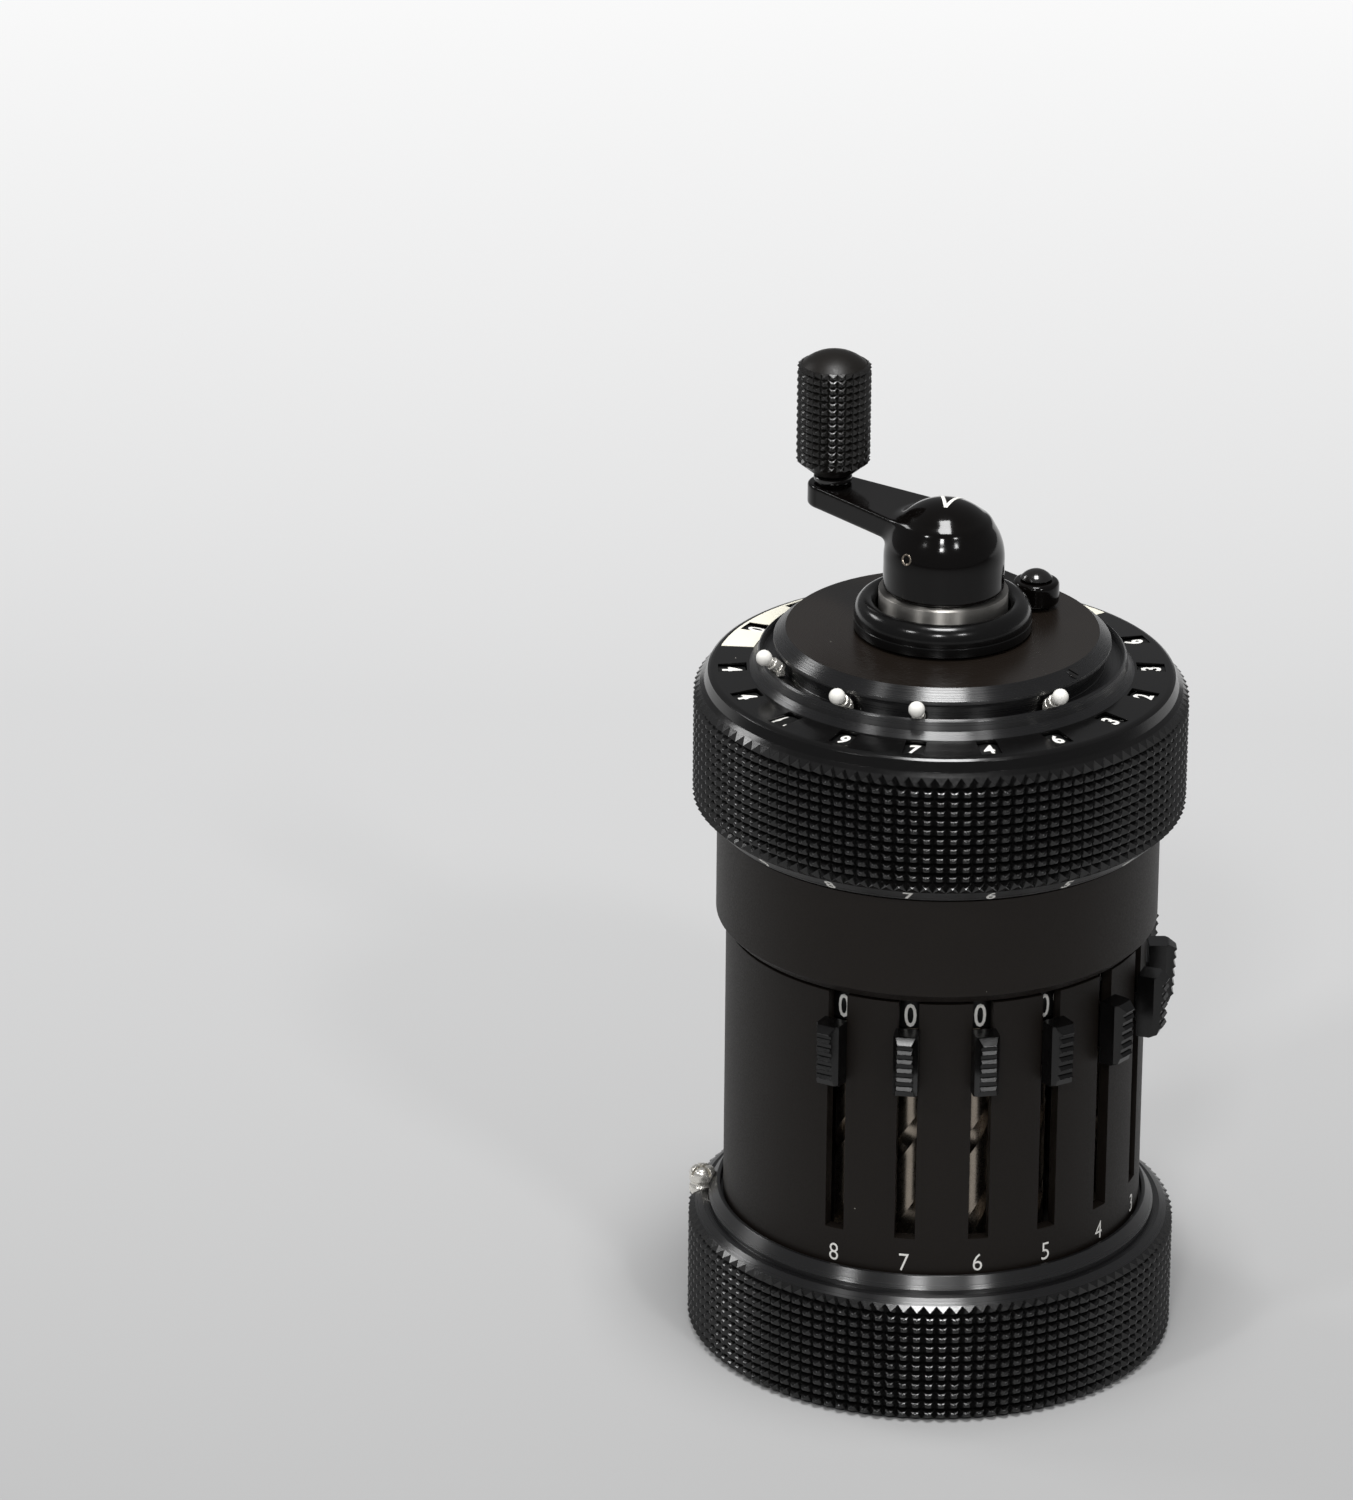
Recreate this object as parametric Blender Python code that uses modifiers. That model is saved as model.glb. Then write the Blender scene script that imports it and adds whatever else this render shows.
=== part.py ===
"""A drum-shaped mechanical pocket calculator, standing upright with its crank on top.

Eight sliders in the slotted case turn digit drums through a peg in a helical groove.
The crank turns and lifts the stepped drum, and the carriage above the case lifts and turns.
Lengths are in metres. The front is -Y, and angles run from the front towards +X.
"""

import math

import bmesh
import bpy
from mathutils import Matrix, Vector

# Fits shared by all pieces
SEAT_GAP = 0.0003
RUN_GAP = 0.0003
OVERRUN = 0.0008
MERGE_DISTANCE = 0.00001

# Facets
RING_SIDES = 44
TUBE_SIDES = 24
SHAFT_SIDES = 16
PIN_SIDES = 12
PEG_SIDES = 8
DIGIT_SIDES = 10

# Knurled rings at the foot and on the carriage
RING_RADIUS = 0.0265
KNURL_DEPTH = 0.0006
KNURL_END = 0.0003

# Base ring
BASE_HEIGHT = 0.016
BASE_RIM_INSET = 0.0031
BASE_STEP_INSET = 0.0022
BASE_STEP_DROP = 0.0013
BASE_GROOVE_INSET = 0.0024
BASE_GROOVE_WIDTH = 0.0005
BASE_SHOULDER_INSET = 0.0015
BASE_BEVEL_HEIGHT = 0.0011
FOOT_BAND_HEIGHT = 0.00095
FOOT_BAND_INSET = 0.0003
FOOT_RIM_WIDTH = 0.004
FOOT_RECESS_DEPTH = 0.0016
BASE_LEDGE_WIDTH = 0.0022
BASE_LEDGE_THICKNESS = 0.0018
REBATE_DEPTH = 0.001
BASE_PLATE_THICKNESS = 0.001

# Steel stud of the case lock, on the base ring
STUD_RADIUS = 0.0012
STUD_HEIGHT = 0.0021
STUD_INSET = 0.0014
STUD_SEAT_DROP = 0.0027
STUD_SEAT_CLEARANCE = 0.0003
STUD_CHAMFER = 0.0003
STUD_ANGLE = -138.0

# Slotted case
CASE_INSET = 0.0038
CASE_WALL = 0.0013
CASE_LENGTH = 0.0323
SLOT_WIDTH = 0.0022
SLOT_FOOT = 0.0047
SLIDER_COUNT = 8
SLIDER_STEP_ANGLE = 20.0
REVERSE_ANGLE = 180.0
REVERSE_SLOT_LENGTH = 0.0136
REVERSE_SLOT_DROP = 0.0016

# Upper collar
COLLAR_STEP = 0.0011
COLLAR_CHAMFER = 0.0011
COLLAR_HEIGHT = 0.0121
NECK_STEP = 0.0012
NECK_HEIGHT = 0.006
NECK_WALL = 0.0011

# Bearing plates and their posts
PLATE_THICKNESS = 0.002
LOWER_PLATE_RISE = 0.0009
TOP_PLATE_THICKNESS = 0.0016
TOP_PLATE_RISE = 0.003
POST_RADIUS = 0.0014
POST_INSET = 0.003
LOWER_POST_ANGLES = (105.0, 150.0, 210.0, 255.0)
UPPER_POST_ANGLES = (60.0, 180.0, 300.0)

# Setting shafts with their digit drums
DIGIT_DRUM_SHARE = 0.10566
DIGIT_DRUM_CLEARANCE = 0.0004
DIGIT_DRUM_HEIGHT = 0.0039
SETTING_RADIUS = 0.0021
SETTING_JOURNAL_RADIUS = 0.0008
JOURNAL_INSET = 0.0002
GROOVE_TURNS_SHARE = 0.9
GROOVE_HALF_WIDTH = 0.00086
GROOVE_FLOOR_RADIUS = 0.001
GROOVE_STEPS = 11
GROOVE_ARC_POINTS = 6

# Setting sliders
SLIDER_STOPS = 0.0143
PEG_DROP = 0.0066
PEG_RADIUS = 0.0004
PEG_REACH = 0.0014
SHOE_WIDTH = 0.003
SHOE_THICKNESS = 0.00045
SHOE_LENGTH = 0.0048
SHOE_OVERLAP = 0.0001
KNOB_RISE = 0.004
KNOB_HEIGHT = 0.0075
KNOB_WIDTH = 0.0027
KNOB_FRONT_WIDTH = 0.0016
KNOB_TOP_REACH = 0.0023
KNOB_BROW_REACH = 0.0032
KNOB_BROW_DROP = 0.001
KNOB_FOOT_REACH = 0.0025
KNOB_HEEL_REACH = 0.0016
KNOB_HEEL_RISE = 0.0005
KNOB_RIDGES = 5
KNOB_RIDGE_DEPTH = 0.00025
KNOB_SHOULDER_SHARE = 0.62
KNOB_TOP_WIDTH_SHARE = 0.98

# Reversing lever at the back
REVERSE_TRAVEL = 0.006
REVERSE_KNOB_HEIGHT = 0.006
REVERSE_KNOB_RISE = 0.003
REVERSE_RIDGES = 3

# Lifting sleeve, main shaft and stepped drum
CRANK_LIFT = 0.005
LIFT_SLEEVE_SHARE = 0.2604
LIFT_SLEEVE_WALL = 0.0023
LIFT_SLEEVE_TAIL = 0.0062
MAIN_SHAFT_RADIUS = 0.0025
MAIN_SHAFT_TAIL_RADIUS = 0.0018
MAIN_SHAFT_TAIL = 0.0022
MAIN_SHAFT_STEP_RISE = 0.0008
STEP_DRUM_SHARE = 0.3019
STEP_DRUM_HEADROOM = 0.0004
STEP_DRUM_MARGIN = 0.0028
STEP_TOOTH_HEIGHT = 0.0016
STEP_TOOTH_WIDTH = 0.0012
STEP_TOOTH_ROOT = 0.0006
STEP_TOOTH_COUNT = 9
STEP_TOOTH_ANGLE = 18.0

# Carriage column and hub
COLUMN_WALL = 0.001
COLUMN_FLANGE_WIDTH = 0.0023
COLUMN_FLANGE_THICKNESS = 0.0015
COLUMN_RISE = 0.0018
HUB_SHARE = 0.3585
HUB_HEIGHT = 0.00325
HUB_EDGE = 0.0006

# Carriage ring
CARRIAGE_LIFT = 0.0045
CARRIAGE_CLEARANCE = 0.0004
CARRIAGE_FOOT_WALL = 0.0012
CARRIAGE_CHAMFER = 0.0022
CARRIAGE_GUIDE_SLOPE = 0.001
CARRIAGE_HEIGHT = 0.0168
CARRIAGE_WALL = 0.0015
RIM_WIDTH = 0.0021
RIM_DROP = 0.0026
RIM_SHARES = ((0.14, 0.15), (0.48, 0.62), (0.76, 0.77))
FACE_FALL = 0.0003
FACE_THICKNESS = 0.0005
CAVITY_EDGE_WIDTH = 0.00075
CAVITY_EDGE_DROP = 0.0017
DIAL_CAVITY_WIDTH = 0.0057
PARTITION_WALL = 0.0011
PARTITION_DEPTH = 0.0076
LIP_FOOT_WIDTH = 0.0011
LIP_SHOULDER_WIDTH = 0.00045
LIP_HEIGHT = 0.00185
LIP_SLOPE_SHARE = 0.8
LIP_CREST_SHARE = 0.4
CHANNEL_WALL_STEP = 0.0001
CHANNEL_WIDTH = 0.0019
CHANNEL_RISE = 0.0008
DISC_RISE = 0.0024
DISC_THICKNESS = 0.0026
CARRIAGE_TUBE_WALL = 0.0011
CARRIAGE_TUBE_LENGTH = 0.0135
CARRIAGE_TURN = 100.0

# Windows in the carriage and the number dials beneath them
WINDOW_LENGTH = 0.0027
WINDOW_WIDTH = 0.002
WINDOW_INSET = 0.0043
DIAL_ANGLE_STEP = 20.0
RESULT_DIALS = 11
RESULT_FIRST_ANGLE = -130.0
COUNTER_DIALS = 6
COUNTER_FIRST_ANGLE = 100.0
DIAL_SHARE = 0.1245
DIAL_CLEARANCE = 0.0003
DIAL_DRUM_INSET = 0.001
DIAL_DRUM_LENGTH = 0.0031
DIAL_JOURNAL_RADIUS = 0.0006
DIAL_PINION_RADIUS = 0.0017

# Clearing plate with its lever
CLEAR_PLATE_THICKNESS = 0.00155
CLEAR_PLATE_OVERHANG = 0.0007
CLEAR_PLATE_BEVEL = 0.00115
CLEAR_PLATE_EDGE = 0.00025
LEVER_THICKNESS = 0.00155
LEVER_ARM_WIDTH = 0.003
LEVER_ANGLE = 82.4
LEVER_LENGTH = 0.01386
LEVER_SWING = -1.2
EYE_RADIUS = 0.0023
EYE_HEIGHT = 0.00265
EYE_CLEARANCE = 0.00038
FINGER_RING_RADIUS = 0.00625
FINGER_RING_WIDTH = 0.00175
FINGER_RING_EDGE = 0.0004
LEVER_SCREW_RADIUS = 0.0009
LEVER_SCREW_HEAD_RADIUS = 0.00145
LEVER_SCREW_HEAD_HEIGHT = 0.001
LEVER_SCREW_SINK = 0.0008
SCREW_DOME_SHARES = ((0.0, 1.0), (0.6, 0.85), (1.0, 0.3))

# Decimal markers in the channel round the clearing plate
MARKER_ANGLES = (-114.2, -76.4, -50.5, -4.3)
MARKER_BALL_RADIUS = 0.00087
MARKER_BALL_OUT = 0.0007
MARKER_BALL_RISE = 0.0022
MARKER_NECK_RADIUS = 0.0003
MARKER_COLLAR_RADIUS = 0.0005
MARKER_COLLAR_START = 0.0018
MARKER_PIN_LENGTH = 0.0024
MARKER_TILT = 50.0
MARKER_FOOT_WIDTH = 0.002
MARKER_FOOT_HEIGHT = 0.0007
MARKER_INNER_CLEARANCE = 0.0004
BALL_SHARES = ((0.0, 1.0), (0.707, 0.707), (1.0, 0.0), (0.707, -0.707))

# Crank: a domed cap and its arm, in one casting
CRANK_ANGLE = -174.2
DOME_SHARE = 0.2517
DOME_RISE = 0.0013
DOME_SKIRT = 0.003
DOME_STEPS = 7
DOME_BORE_DEPTH = 0.0038
ARM_RISE = 0.0045
ARM_THICKNESS = 0.0023
ARM_REACH = 0.016
ARM_ROOT_WIDTH = 0.0077
ARM_TIP_WIDTH = 0.0054
ARM_EDGE = 0.0003
ARM_TIP_POINTS = 8
ARM_FLARE_SHARES = ((1.0, 0.98), (1.13, 0.78), (1.36, 0.62))

# Crank handle and the pin that it turns on
HANDLE_RADIUS = 0.00386
HANDLE_HEIGHT = 0.0138
HANDLE_NECK_RADIUS = 0.00206
HANDLE_TAPER = 0.0016
HANDLE_CROWN = 0.0022
HANDLE_CROWN_SHARES = ((0.0, 1.0), (0.55, 0.87), (0.86, 0.5))
HANDLE_BORE_DEPTH = 0.0105
HANDLE_PIN_RADIUS = 0.0012
PIN_FLANGE_THICKNESS = 0.0005
PIN_TAIL_GAP = 0.0002

# Levels of the housing, from the base up
CASE_RADIUS = RING_RADIUS - CASE_INSET
CASE_BORE = CASE_RADIUS - CASE_WALL
CASE_BOTTOM = BASE_HEIGHT - REBATE_DEPTH + SEAT_GAP
CASE_TOP = CASE_BOTTOM + CASE_LENGTH
COLLAR_BOTTOM = CASE_TOP + SEAT_GAP
COLLAR_TOP = COLLAR_BOTTOM + COLLAR_HEIGHT
COLLAR_RADIUS = CASE_RADIUS + COLLAR_STEP
NECK_RADIUS = COLLAR_RADIUS - NECK_STEP
NECK_BORE = NECK_RADIUS - NECK_WALL
NECK_TOP = COLLAR_TOP + NECK_HEIGHT
LOWER_PLATE_BOTTOM = CASE_BOTTOM + LOWER_PLATE_RISE
LOWER_PLATE_TOP = LOWER_PLATE_BOTTOM + PLATE_THICKNESS
UPPER_PLATE_BOTTOM = COLLAR_BOTTOM + SEAT_GAP
UPPER_PLATE_TOP = UPPER_PLATE_BOTTOM + PLATE_THICKNESS
TOP_PLATE_BOTTOM = COLLAR_TOP + TOP_PLATE_RISE
TOP_PLATE_TOP = TOP_PLATE_BOTTOM + TOP_PLATE_THICKNESS

# Places of the setting mechanism
DIGIT_DRUM_RADIUS = RING_RADIUS * DIGIT_DRUM_SHARE
SETTING_CIRCLE = CASE_BORE - DIGIT_DRUM_CLEARANCE - DIGIT_DRUM_RADIUS
DIGIT_DRUM_TOP = UPPER_PLATE_BOTTOM - SEAT_GAP
DIGIT_DRUM_BOTTOM = DIGIT_DRUM_TOP - DIGIT_DRUM_HEIGHT
SETTING_BOTTOM = LOWER_PLATE_TOP + SEAT_GAP
SLIDER_TRAVEL = CASE_LENGTH - SLIDER_STOPS
GROOVE_LEAD = SLIDER_TRAVEL / GROOVE_TURNS_SHARE
PEG_LEVEL = CASE_TOP - PEG_DROP
SLIDER_ANGLES = [
    SLIDER_STEP_ANGLE * (index - (SLIDER_COUNT - 1) / 2) for index in range(SLIDER_COUNT)
]
REVERSE_LEVEL = CASE_TOP - REVERSE_SLOT_DROP - SEAT_GAP - SHOE_LENGTH / 2

# Levels and radii of the carriage
LIFT_SLEEVE_RADIUS = RING_RADIUS * LIFT_SLEEVE_SHARE
LIFT_SLEEVE_BORE = LIFT_SLEEVE_RADIUS - LIFT_SLEEVE_WALL
COLUMN_BORE = LIFT_SLEEVE_RADIUS + RUN_GAP
COLUMN_RADIUS = COLUMN_BORE + COLUMN_WALL
CARRIAGE_BORE = COLUMN_RADIUS + RUN_GAP
CARRIAGE_BOTTOM = COLLAR_TOP + SEAT_GAP
CARRIAGE_TOP = CARRIAGE_BOTTOM + CARRIAGE_HEIGHT
CAVITY_OUTER = RING_RADIUS - CARRIAGE_WALL
CAVITY_INNER = CAVITY_OUTER - DIAL_CAVITY_WIDTH
CHANNEL_OUTER = CAVITY_INNER - CHANNEL_WALL_STEP
CHANNEL_INNER = CHANNEL_OUTER - CHANNEL_WIDTH
CHANNEL_FLOOR = CARRIAGE_TOP + CHANNEL_RISE
DISC_TOP = CARRIAGE_TOP + DISC_RISE
DIAL_OUTER = CAVITY_OUTER - SEAT_GAP
DIAL_INNER = CAVITY_INNER + SEAT_GAP
DIAL_RADIUS = RING_RADIUS * DIAL_SHARE
DIAL_LEVEL = CARRIAGE_TOP - FACE_THICKNESS - DIAL_CLEARANCE - DIAL_RADIUS
CLEAR_PLATE_BOTTOM = DISC_TOP + SEAT_GAP
CLEAR_PLATE_TOP = CLEAR_PLATE_BOTTOM + CLEAR_PLATE_THICKNESS
CLEAR_PLATE_RADIUS = CHANNEL_INNER + CLEAR_PLATE_OVERHANG
HUB_RADIUS = RING_RADIUS * HUB_SHARE
HUB_BOTTOM = CLEAR_PLATE_TOP + SEAT_GAP
HUB_TOP = HUB_BOTTOM + HUB_HEIGHT
COLUMN_BOTTOM = UPPER_PLATE_TOP + COLUMN_RISE
LEVER_BOTTOM = CLEAR_PLATE_TOP + SEAT_GAP
LEVER_CIRCLE = HUB_RADIUS + EYE_CLEARANCE + EYE_RADIUS
LEVER_HOLE_RADIUS = LEVER_SCREW_RADIUS + RUN_GAP

# Levels of the crank
DOME_RADIUS = RING_RADIUS * DOME_SHARE
DOME_BOTTOM = HUB_TOP + DOME_RISE
DOME_CENTRE = DOME_BOTTOM + DOME_SKIRT
DOME_BORE_TOP = DOME_BOTTOM + DOME_BORE_DEPTH
ARM_TOP = DOME_CENTRE + ARM_RISE
ARM_BOTTOM = ARM_TOP - ARM_THICKNESS
LIFT_SLEEVE_TOP = DOME_BOTTOM - SEAT_GAP
LIFT_SLEEVE_BOTTOM = UPPER_PLATE_TOP - LIFT_SLEEVE_TAIL
MAIN_SHAFT_BOTTOM = LOWER_PLATE_BOTTOM - CRANK_LIFT - MAIN_SHAFT_TAIL
STEP_DRUM_TOP = UPPER_PLATE_BOTTOM - CRANK_LIFT - STEP_DRUM_HEADROOM
STEP_DRUM_RADIUS = RING_RADIUS * STEP_DRUM_SHARE
STEP_TOOTH_RISE = SLIDER_TRAVEL / STEP_TOOTH_COUNT
STEP_DRUM_LENGTH = SLIDER_TRAVEL + STEP_DRUM_MARGIN
STEP_DRUM_BOTTOM = STEP_DRUM_TOP - STEP_DRUM_LENGTH
PIN_FLANGE_BOTTOM = ARM_TOP + SEAT_GAP
HANDLE_BOTTOM = PIN_FLANGE_BOTTOM + PIN_FLANGE_THICKNESS + SEAT_GAP
HANDLE_TOP = HANDLE_BOTTOM + HANDLE_HEIGHT
HANDLE_BORE_TOP = HANDLE_BOTTOM + HANDLE_BORE_DEPTH

# Finishes: colour, metallic and roughness
FINISHES = {
    "satin_black": ((0.018, 0.018, 0.020, 1), 0.6, 0.38),
    "matte_black": ((0.012, 0.012, 0.013, 1), 0.2, 0.55),
    "gloss_black": ((0.010, 0.010, 0.011, 1), 0.3, 0.14),
    "warm_grey": ((0.045, 0.042, 0.040, 1), 0.7, 0.35),
    "bright_steel": ((0.62, 0.61, 0.59, 1), 1.0, 0.22),
    "dial_black": ((0.015, 0.015, 0.016, 1), 0.0, 0.45),
    "dial_ivory": ((0.78, 0.74, 0.62, 1), 0.0, 0.45),
    "marker_white": ((0.85, 0.84, 0.80, 1), 0.0, 0.35),
}


def clear_scene():
    for obj in list(bpy.data.objects):
        bpy.data.objects.remove(obj)


def new_collection(name):
    collection = bpy.data.collections.new(name)
    bpy.context.scene.collection.children.link(collection)
    return collection


def finish(name):
    """The Principled BSDF material of this finish, made at its first use."""
    material = bpy.data.materials.get(name)
    if material is None:
        material = bpy.data.materials.new(name)
        material.use_nodes = True
        colour, metallic, roughness = FINISHES[name]
        shader = material.node_tree.nodes["Principled BSDF"]
        shader.inputs["Base Color"].default_value = colour
        shader.inputs["Metallic"].default_value = metallic
        shader.inputs["Roughness"].default_value = roughness
        material.diffuse_color = colour
    return material


def polar(radius, angle, level):
    turn = math.radians(angle)
    return Vector((radius * math.sin(turn), -radius * math.cos(turn), level))


def placed(radius, angle, level):
    """A frame at this radius and angle whose -Y points outwards."""
    return Matrix.Translation(polar(radius, angle, level)) @ Matrix.Rotation(math.radians(angle), 4, "Z")


def evaluated_mesh(obj):
    bpy.context.view_layer.update()
    graph = bpy.context.evaluated_depsgraph_get()
    return bpy.data.meshes.new_from_object(obj.evaluated_get(graph))


def turned(name, outline, sides):
    """The solid that an outline of (radius, level) sweeps round Z, given down its outer side."""
    profile = bpy.data.meshes.new(name)
    points = [(radius, 0, level) for radius, level in outline]
    links = [(index, index + 1) for index in range(len(points) - 1)]
    if outline[0][0] > 0:
        links.append((len(points) - 1, 0))
    profile.from_pydata(points, links, [])
    lathe = bpy.data.objects.new(name, profile)
    tools.objects.link(lathe)
    screw = lathe.modifiers.new("turn", "SCREW")
    screw.steps = sides
    screw.render_steps = sides
    screw.use_merge_vertices = True
    screw.merge_threshold = MERGE_DISTANCE
    mesh = evaluated_mesh(lathe)
    bpy.data.objects.remove(lathe)
    bpy.data.meshes.remove(profile)
    return mesh


def blocks(name, size, places):
    """Boxes of one size, one at each place, as one mesh."""
    mesh = bpy.data.meshes.new(name)
    shape = bmesh.new()
    for place in places:
        bmesh.ops.create_cube(shape, size=1, matrix=place @ Matrix.Diagonal((*size, 1)))
    shape.to_mesh(mesh)
    shape.free()
    return mesh


def rods(name, radius, length, places, sides=PIN_SIDES):
    """Upright cylinders of one size, one centred at each place, as one mesh."""
    mesh = bpy.data.meshes.new(name)
    shape = bmesh.new()
    for place in places:
        bmesh.ops.create_cone(
            shape,
            cap_ends=True,
            segments=sides,
            radius1=radius,
            radius2=radius,
            depth=length,
            matrix=place,
        )
    shape.to_mesh(mesh)
    shape.free()
    return mesh


def lofted(name, sections):
    """A closed skin through sections that have the same number of points."""
    mesh = bpy.data.meshes.new(name)
    shape = bmesh.new()
    rings = [[shape.verts.new(point) for point in section] for section in sections]
    shape.faces.new(rings[0])
    shape.faces.new(rings[-1])
    for low, high in zip(rings, rings[1:]):
        for index in range(len(low)):
            following = (index + 1) % len(low)
            shape.faces.new((low[index], low[following], high[following], high[index]))
    bmesh.ops.recalc_face_normals(shape, faces=shape.faces)
    shape.to_mesh(mesh)
    shape.free()
    return mesh


def sheet(name, outline, thickness, edge):
    """A flat outline given its thickness downwards from level 0, with its edges eased."""
    curve = bpy.data.curves.new(name, "CURVE")
    curve.dimensions = "2D"
    curve.fill_mode = "BOTH"
    curve.extrude = thickness / 2 - edge
    curve.bevel_depth = edge
    curve.bevel_resolution = 0
    curve.offset = -edge
    spline = curve.splines.new("POLY")
    spline.points.add(len(outline) - 1)
    for point, (x, y) in zip(spline.points, outline):
        point.co = (x, y, 0, 1)
    spline.use_cyclic_u = True
    flat = bpy.data.objects.new(name, curve)
    tools.objects.link(flat)
    mesh = evaluated_mesh(flat)
    bpy.data.objects.remove(flat)
    shape = bmesh.new()
    shape.from_mesh(mesh)
    bmesh.ops.remove_doubles(shape, verts=shape.verts, dist=MERGE_DISTANCE)
    bmesh.ops.translate(shape, verts=shape.verts, vec=(0, 0, -thickness / 2))
    bmesh.ops.recalc_face_normals(shape, faces=shape.faces)
    shape.to_mesh(mesh)
    shape.free()
    return mesh


def helper(mesh, place=None):
    """An object that cuts or joins, kept out of the render."""
    obj = bpy.data.objects.new(mesh.name, mesh)
    obj.hide_render = True
    obj.display_type = "WIRE"
    if place is not None:
        obj.matrix_world = place
    tools.objects.link(obj)
    return obj


def shaped(mesh, joins=(), cuts=()):
    """The mesh with these helpers joined to it and then these cut from it."""
    body = bpy.data.objects.new(mesh.name, mesh)
    tools.objects.link(body)
    for operation, others in (("UNION", joins), ("DIFFERENCE", cuts)):
        for other in others:
            step = body.modifiers.new(other.name, "BOOLEAN")
            step.operation = operation
            step.solver = "EXACT"
            step.object = other
    result = evaluated_mesh(body)
    result.name = mesh.name
    bpy.data.objects.remove(body)
    return result


def piece(name, mesh, look, parent, location=(0, 0, 0), rotation=(0, 0, 0)):
    """One sub-part of the calculator, placed in its parent's frame."""
    mesh.shade_smooth()
    mesh.set_sharp_from_angle(angle=math.radians(32))
    if not mesh.materials:
        mesh.materials.append(finish(look))
    obj = bpy.data.objects.new(name, mesh)
    obj.location = location
    obj.rotation_euler = rotation
    obj.parent = parent
    parts.objects.link(obj)
    return obj


def axis_frame(name, parent=None, location=(0, 0, 0)):
    """The empty that carries one moving group and stands on its joint's axis."""
    empty = bpy.data.objects.new(name, None)
    empty.empty_display_size = CASE_WALL
    empty.location = location
    empty.parent = parent
    parts.objects.link(empty)
    return empty


def knurled(mesh, bottom, top):
    """Presses an upright groove into each flat of a ring's grip band; the ridges between are its main knurls."""
    ring = bmesh.new()
    ring.from_mesh(mesh)
    rims = []
    for edge in ring.edges:
        first, second = edge.verts
        outside = min(first.co.xy.length, second.co.xy.length) > RING_RADIUS - MERGE_DISTANCE
        if outside and abs(first.co.z - second.co.z) < MERGE_DISTANCE:
            rims.append(edge)
    made = bmesh.ops.subdivide_edges(ring, edges=rims, cuts=1)
    valleys = {item for item in made["geom_inner"] if isinstance(item, bmesh.types.BMVert)}
    for valley in valleys:
        valley.co.xy = valley.co.xy.normalized() * (RING_RADIUS - KNURL_DEPTH)
        valley.co.z += KNURL_END if valley.co.z < (bottom + top) / 2 else -KNURL_END
    for face in list(ring.faces):
        corners = list(face.verts)
        sunk = [corner for corner in corners if corner in valleys]
        if len(sunk) == 1:
            start = corners.index(sunk[0])
            around = corners[start + 1:] + corners[:start]
            for first, second in zip(around, around[1:]):
                ring.faces.new((sunk[0], first, second))
            ring.faces.remove(face)
    ring.to_mesh(mesh)
    ring.free()
    return mesh


def base_ring():
    top = BASE_HEIGHT
    groove_top = top - BASE_STEP_DROP
    groove_bottom = groove_top - BASE_GROOVE_WIDTH
    rebate_radius = CASE_RADIUS + SEAT_GAP
    recess_radius = RING_RADIUS - FOOT_BAND_INSET - FOOT_RIM_WIDTH
    ledge_top = FOOT_RECESS_DEPTH + BASE_LEDGE_THICKNESS
    outline = [
        (rebate_radius, top),
        (RING_RADIUS - BASE_RIM_INSET, top),
        (RING_RADIUS - BASE_STEP_INSET, groove_top),
        (RING_RADIUS - BASE_GROOVE_INSET, groove_top),
        (RING_RADIUS - BASE_GROOVE_INSET, groove_bottom),
        (RING_RADIUS - BASE_SHOULDER_INSET, groove_bottom),
        (RING_RADIUS, groove_bottom - BASE_BEVEL_HEIGHT),
        (RING_RADIUS, FOOT_BAND_HEIGHT),
        (RING_RADIUS - FOOT_BAND_INSET, FOOT_BAND_HEIGHT),
        (RING_RADIUS - FOOT_BAND_INSET, 0),
        (recess_radius, 0),
        (recess_radius, FOOT_RECESS_DEPTH),
        (recess_radius - BASE_LEDGE_WIDTH, FOOT_RECESS_DEPTH),
        (recess_radius - BASE_LEDGE_WIDTH, ledge_top),
        (CASE_BORE, ledge_top),
        (CASE_BORE, top - REBATE_DEPTH),
        (rebate_radius, top - REBATE_DEPTH),
    ]
    seat_level = top - STUD_SEAT_DROP
    seat = placed(RING_RADIUS - STUD_INSET, STUD_ANGLE, seat_level + BASE_HEIGHT / 2)
    pocket = helper(rods("stud_seat_cut", STUD_RADIUS + STUD_SEAT_CLEARANCE, BASE_HEIGHT, [seat]))
    ring = knurled(turned("base_ring", outline, RING_SIDES), FOOT_BAND_HEIGHT, groove_bottom - BASE_BEVEL_HEIGHT)
    return shaped(ring, cuts=[pocket])


def base_plate():
    radius = RING_RADIUS - FOOT_BAND_INSET - FOOT_RIM_WIDTH - SEAT_GAP
    top = FOOT_RECESS_DEPTH - SEAT_GAP
    bottom = top - BASE_PLATE_THICKNESS
    outline = [(0, top), (radius, top), (radius, bottom), (0, bottom)]
    return turned("base_plate", outline, TUBE_SIDES)


def lock_stud():
    """Round steel head, standing in its seat; level 0 is its foot."""
    waist = STUD_HEIGHT - STUD_CHAMFER
    outline = [
        (0, STUD_HEIGHT),
        (STUD_RADIUS - STUD_CHAMFER, STUD_HEIGHT),
        (STUD_RADIUS, waist),
        (STUD_RADIUS, 0),
        (0, 0),
    ]
    return turned("case_lock_stud", outline, PIN_SIDES)


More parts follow.
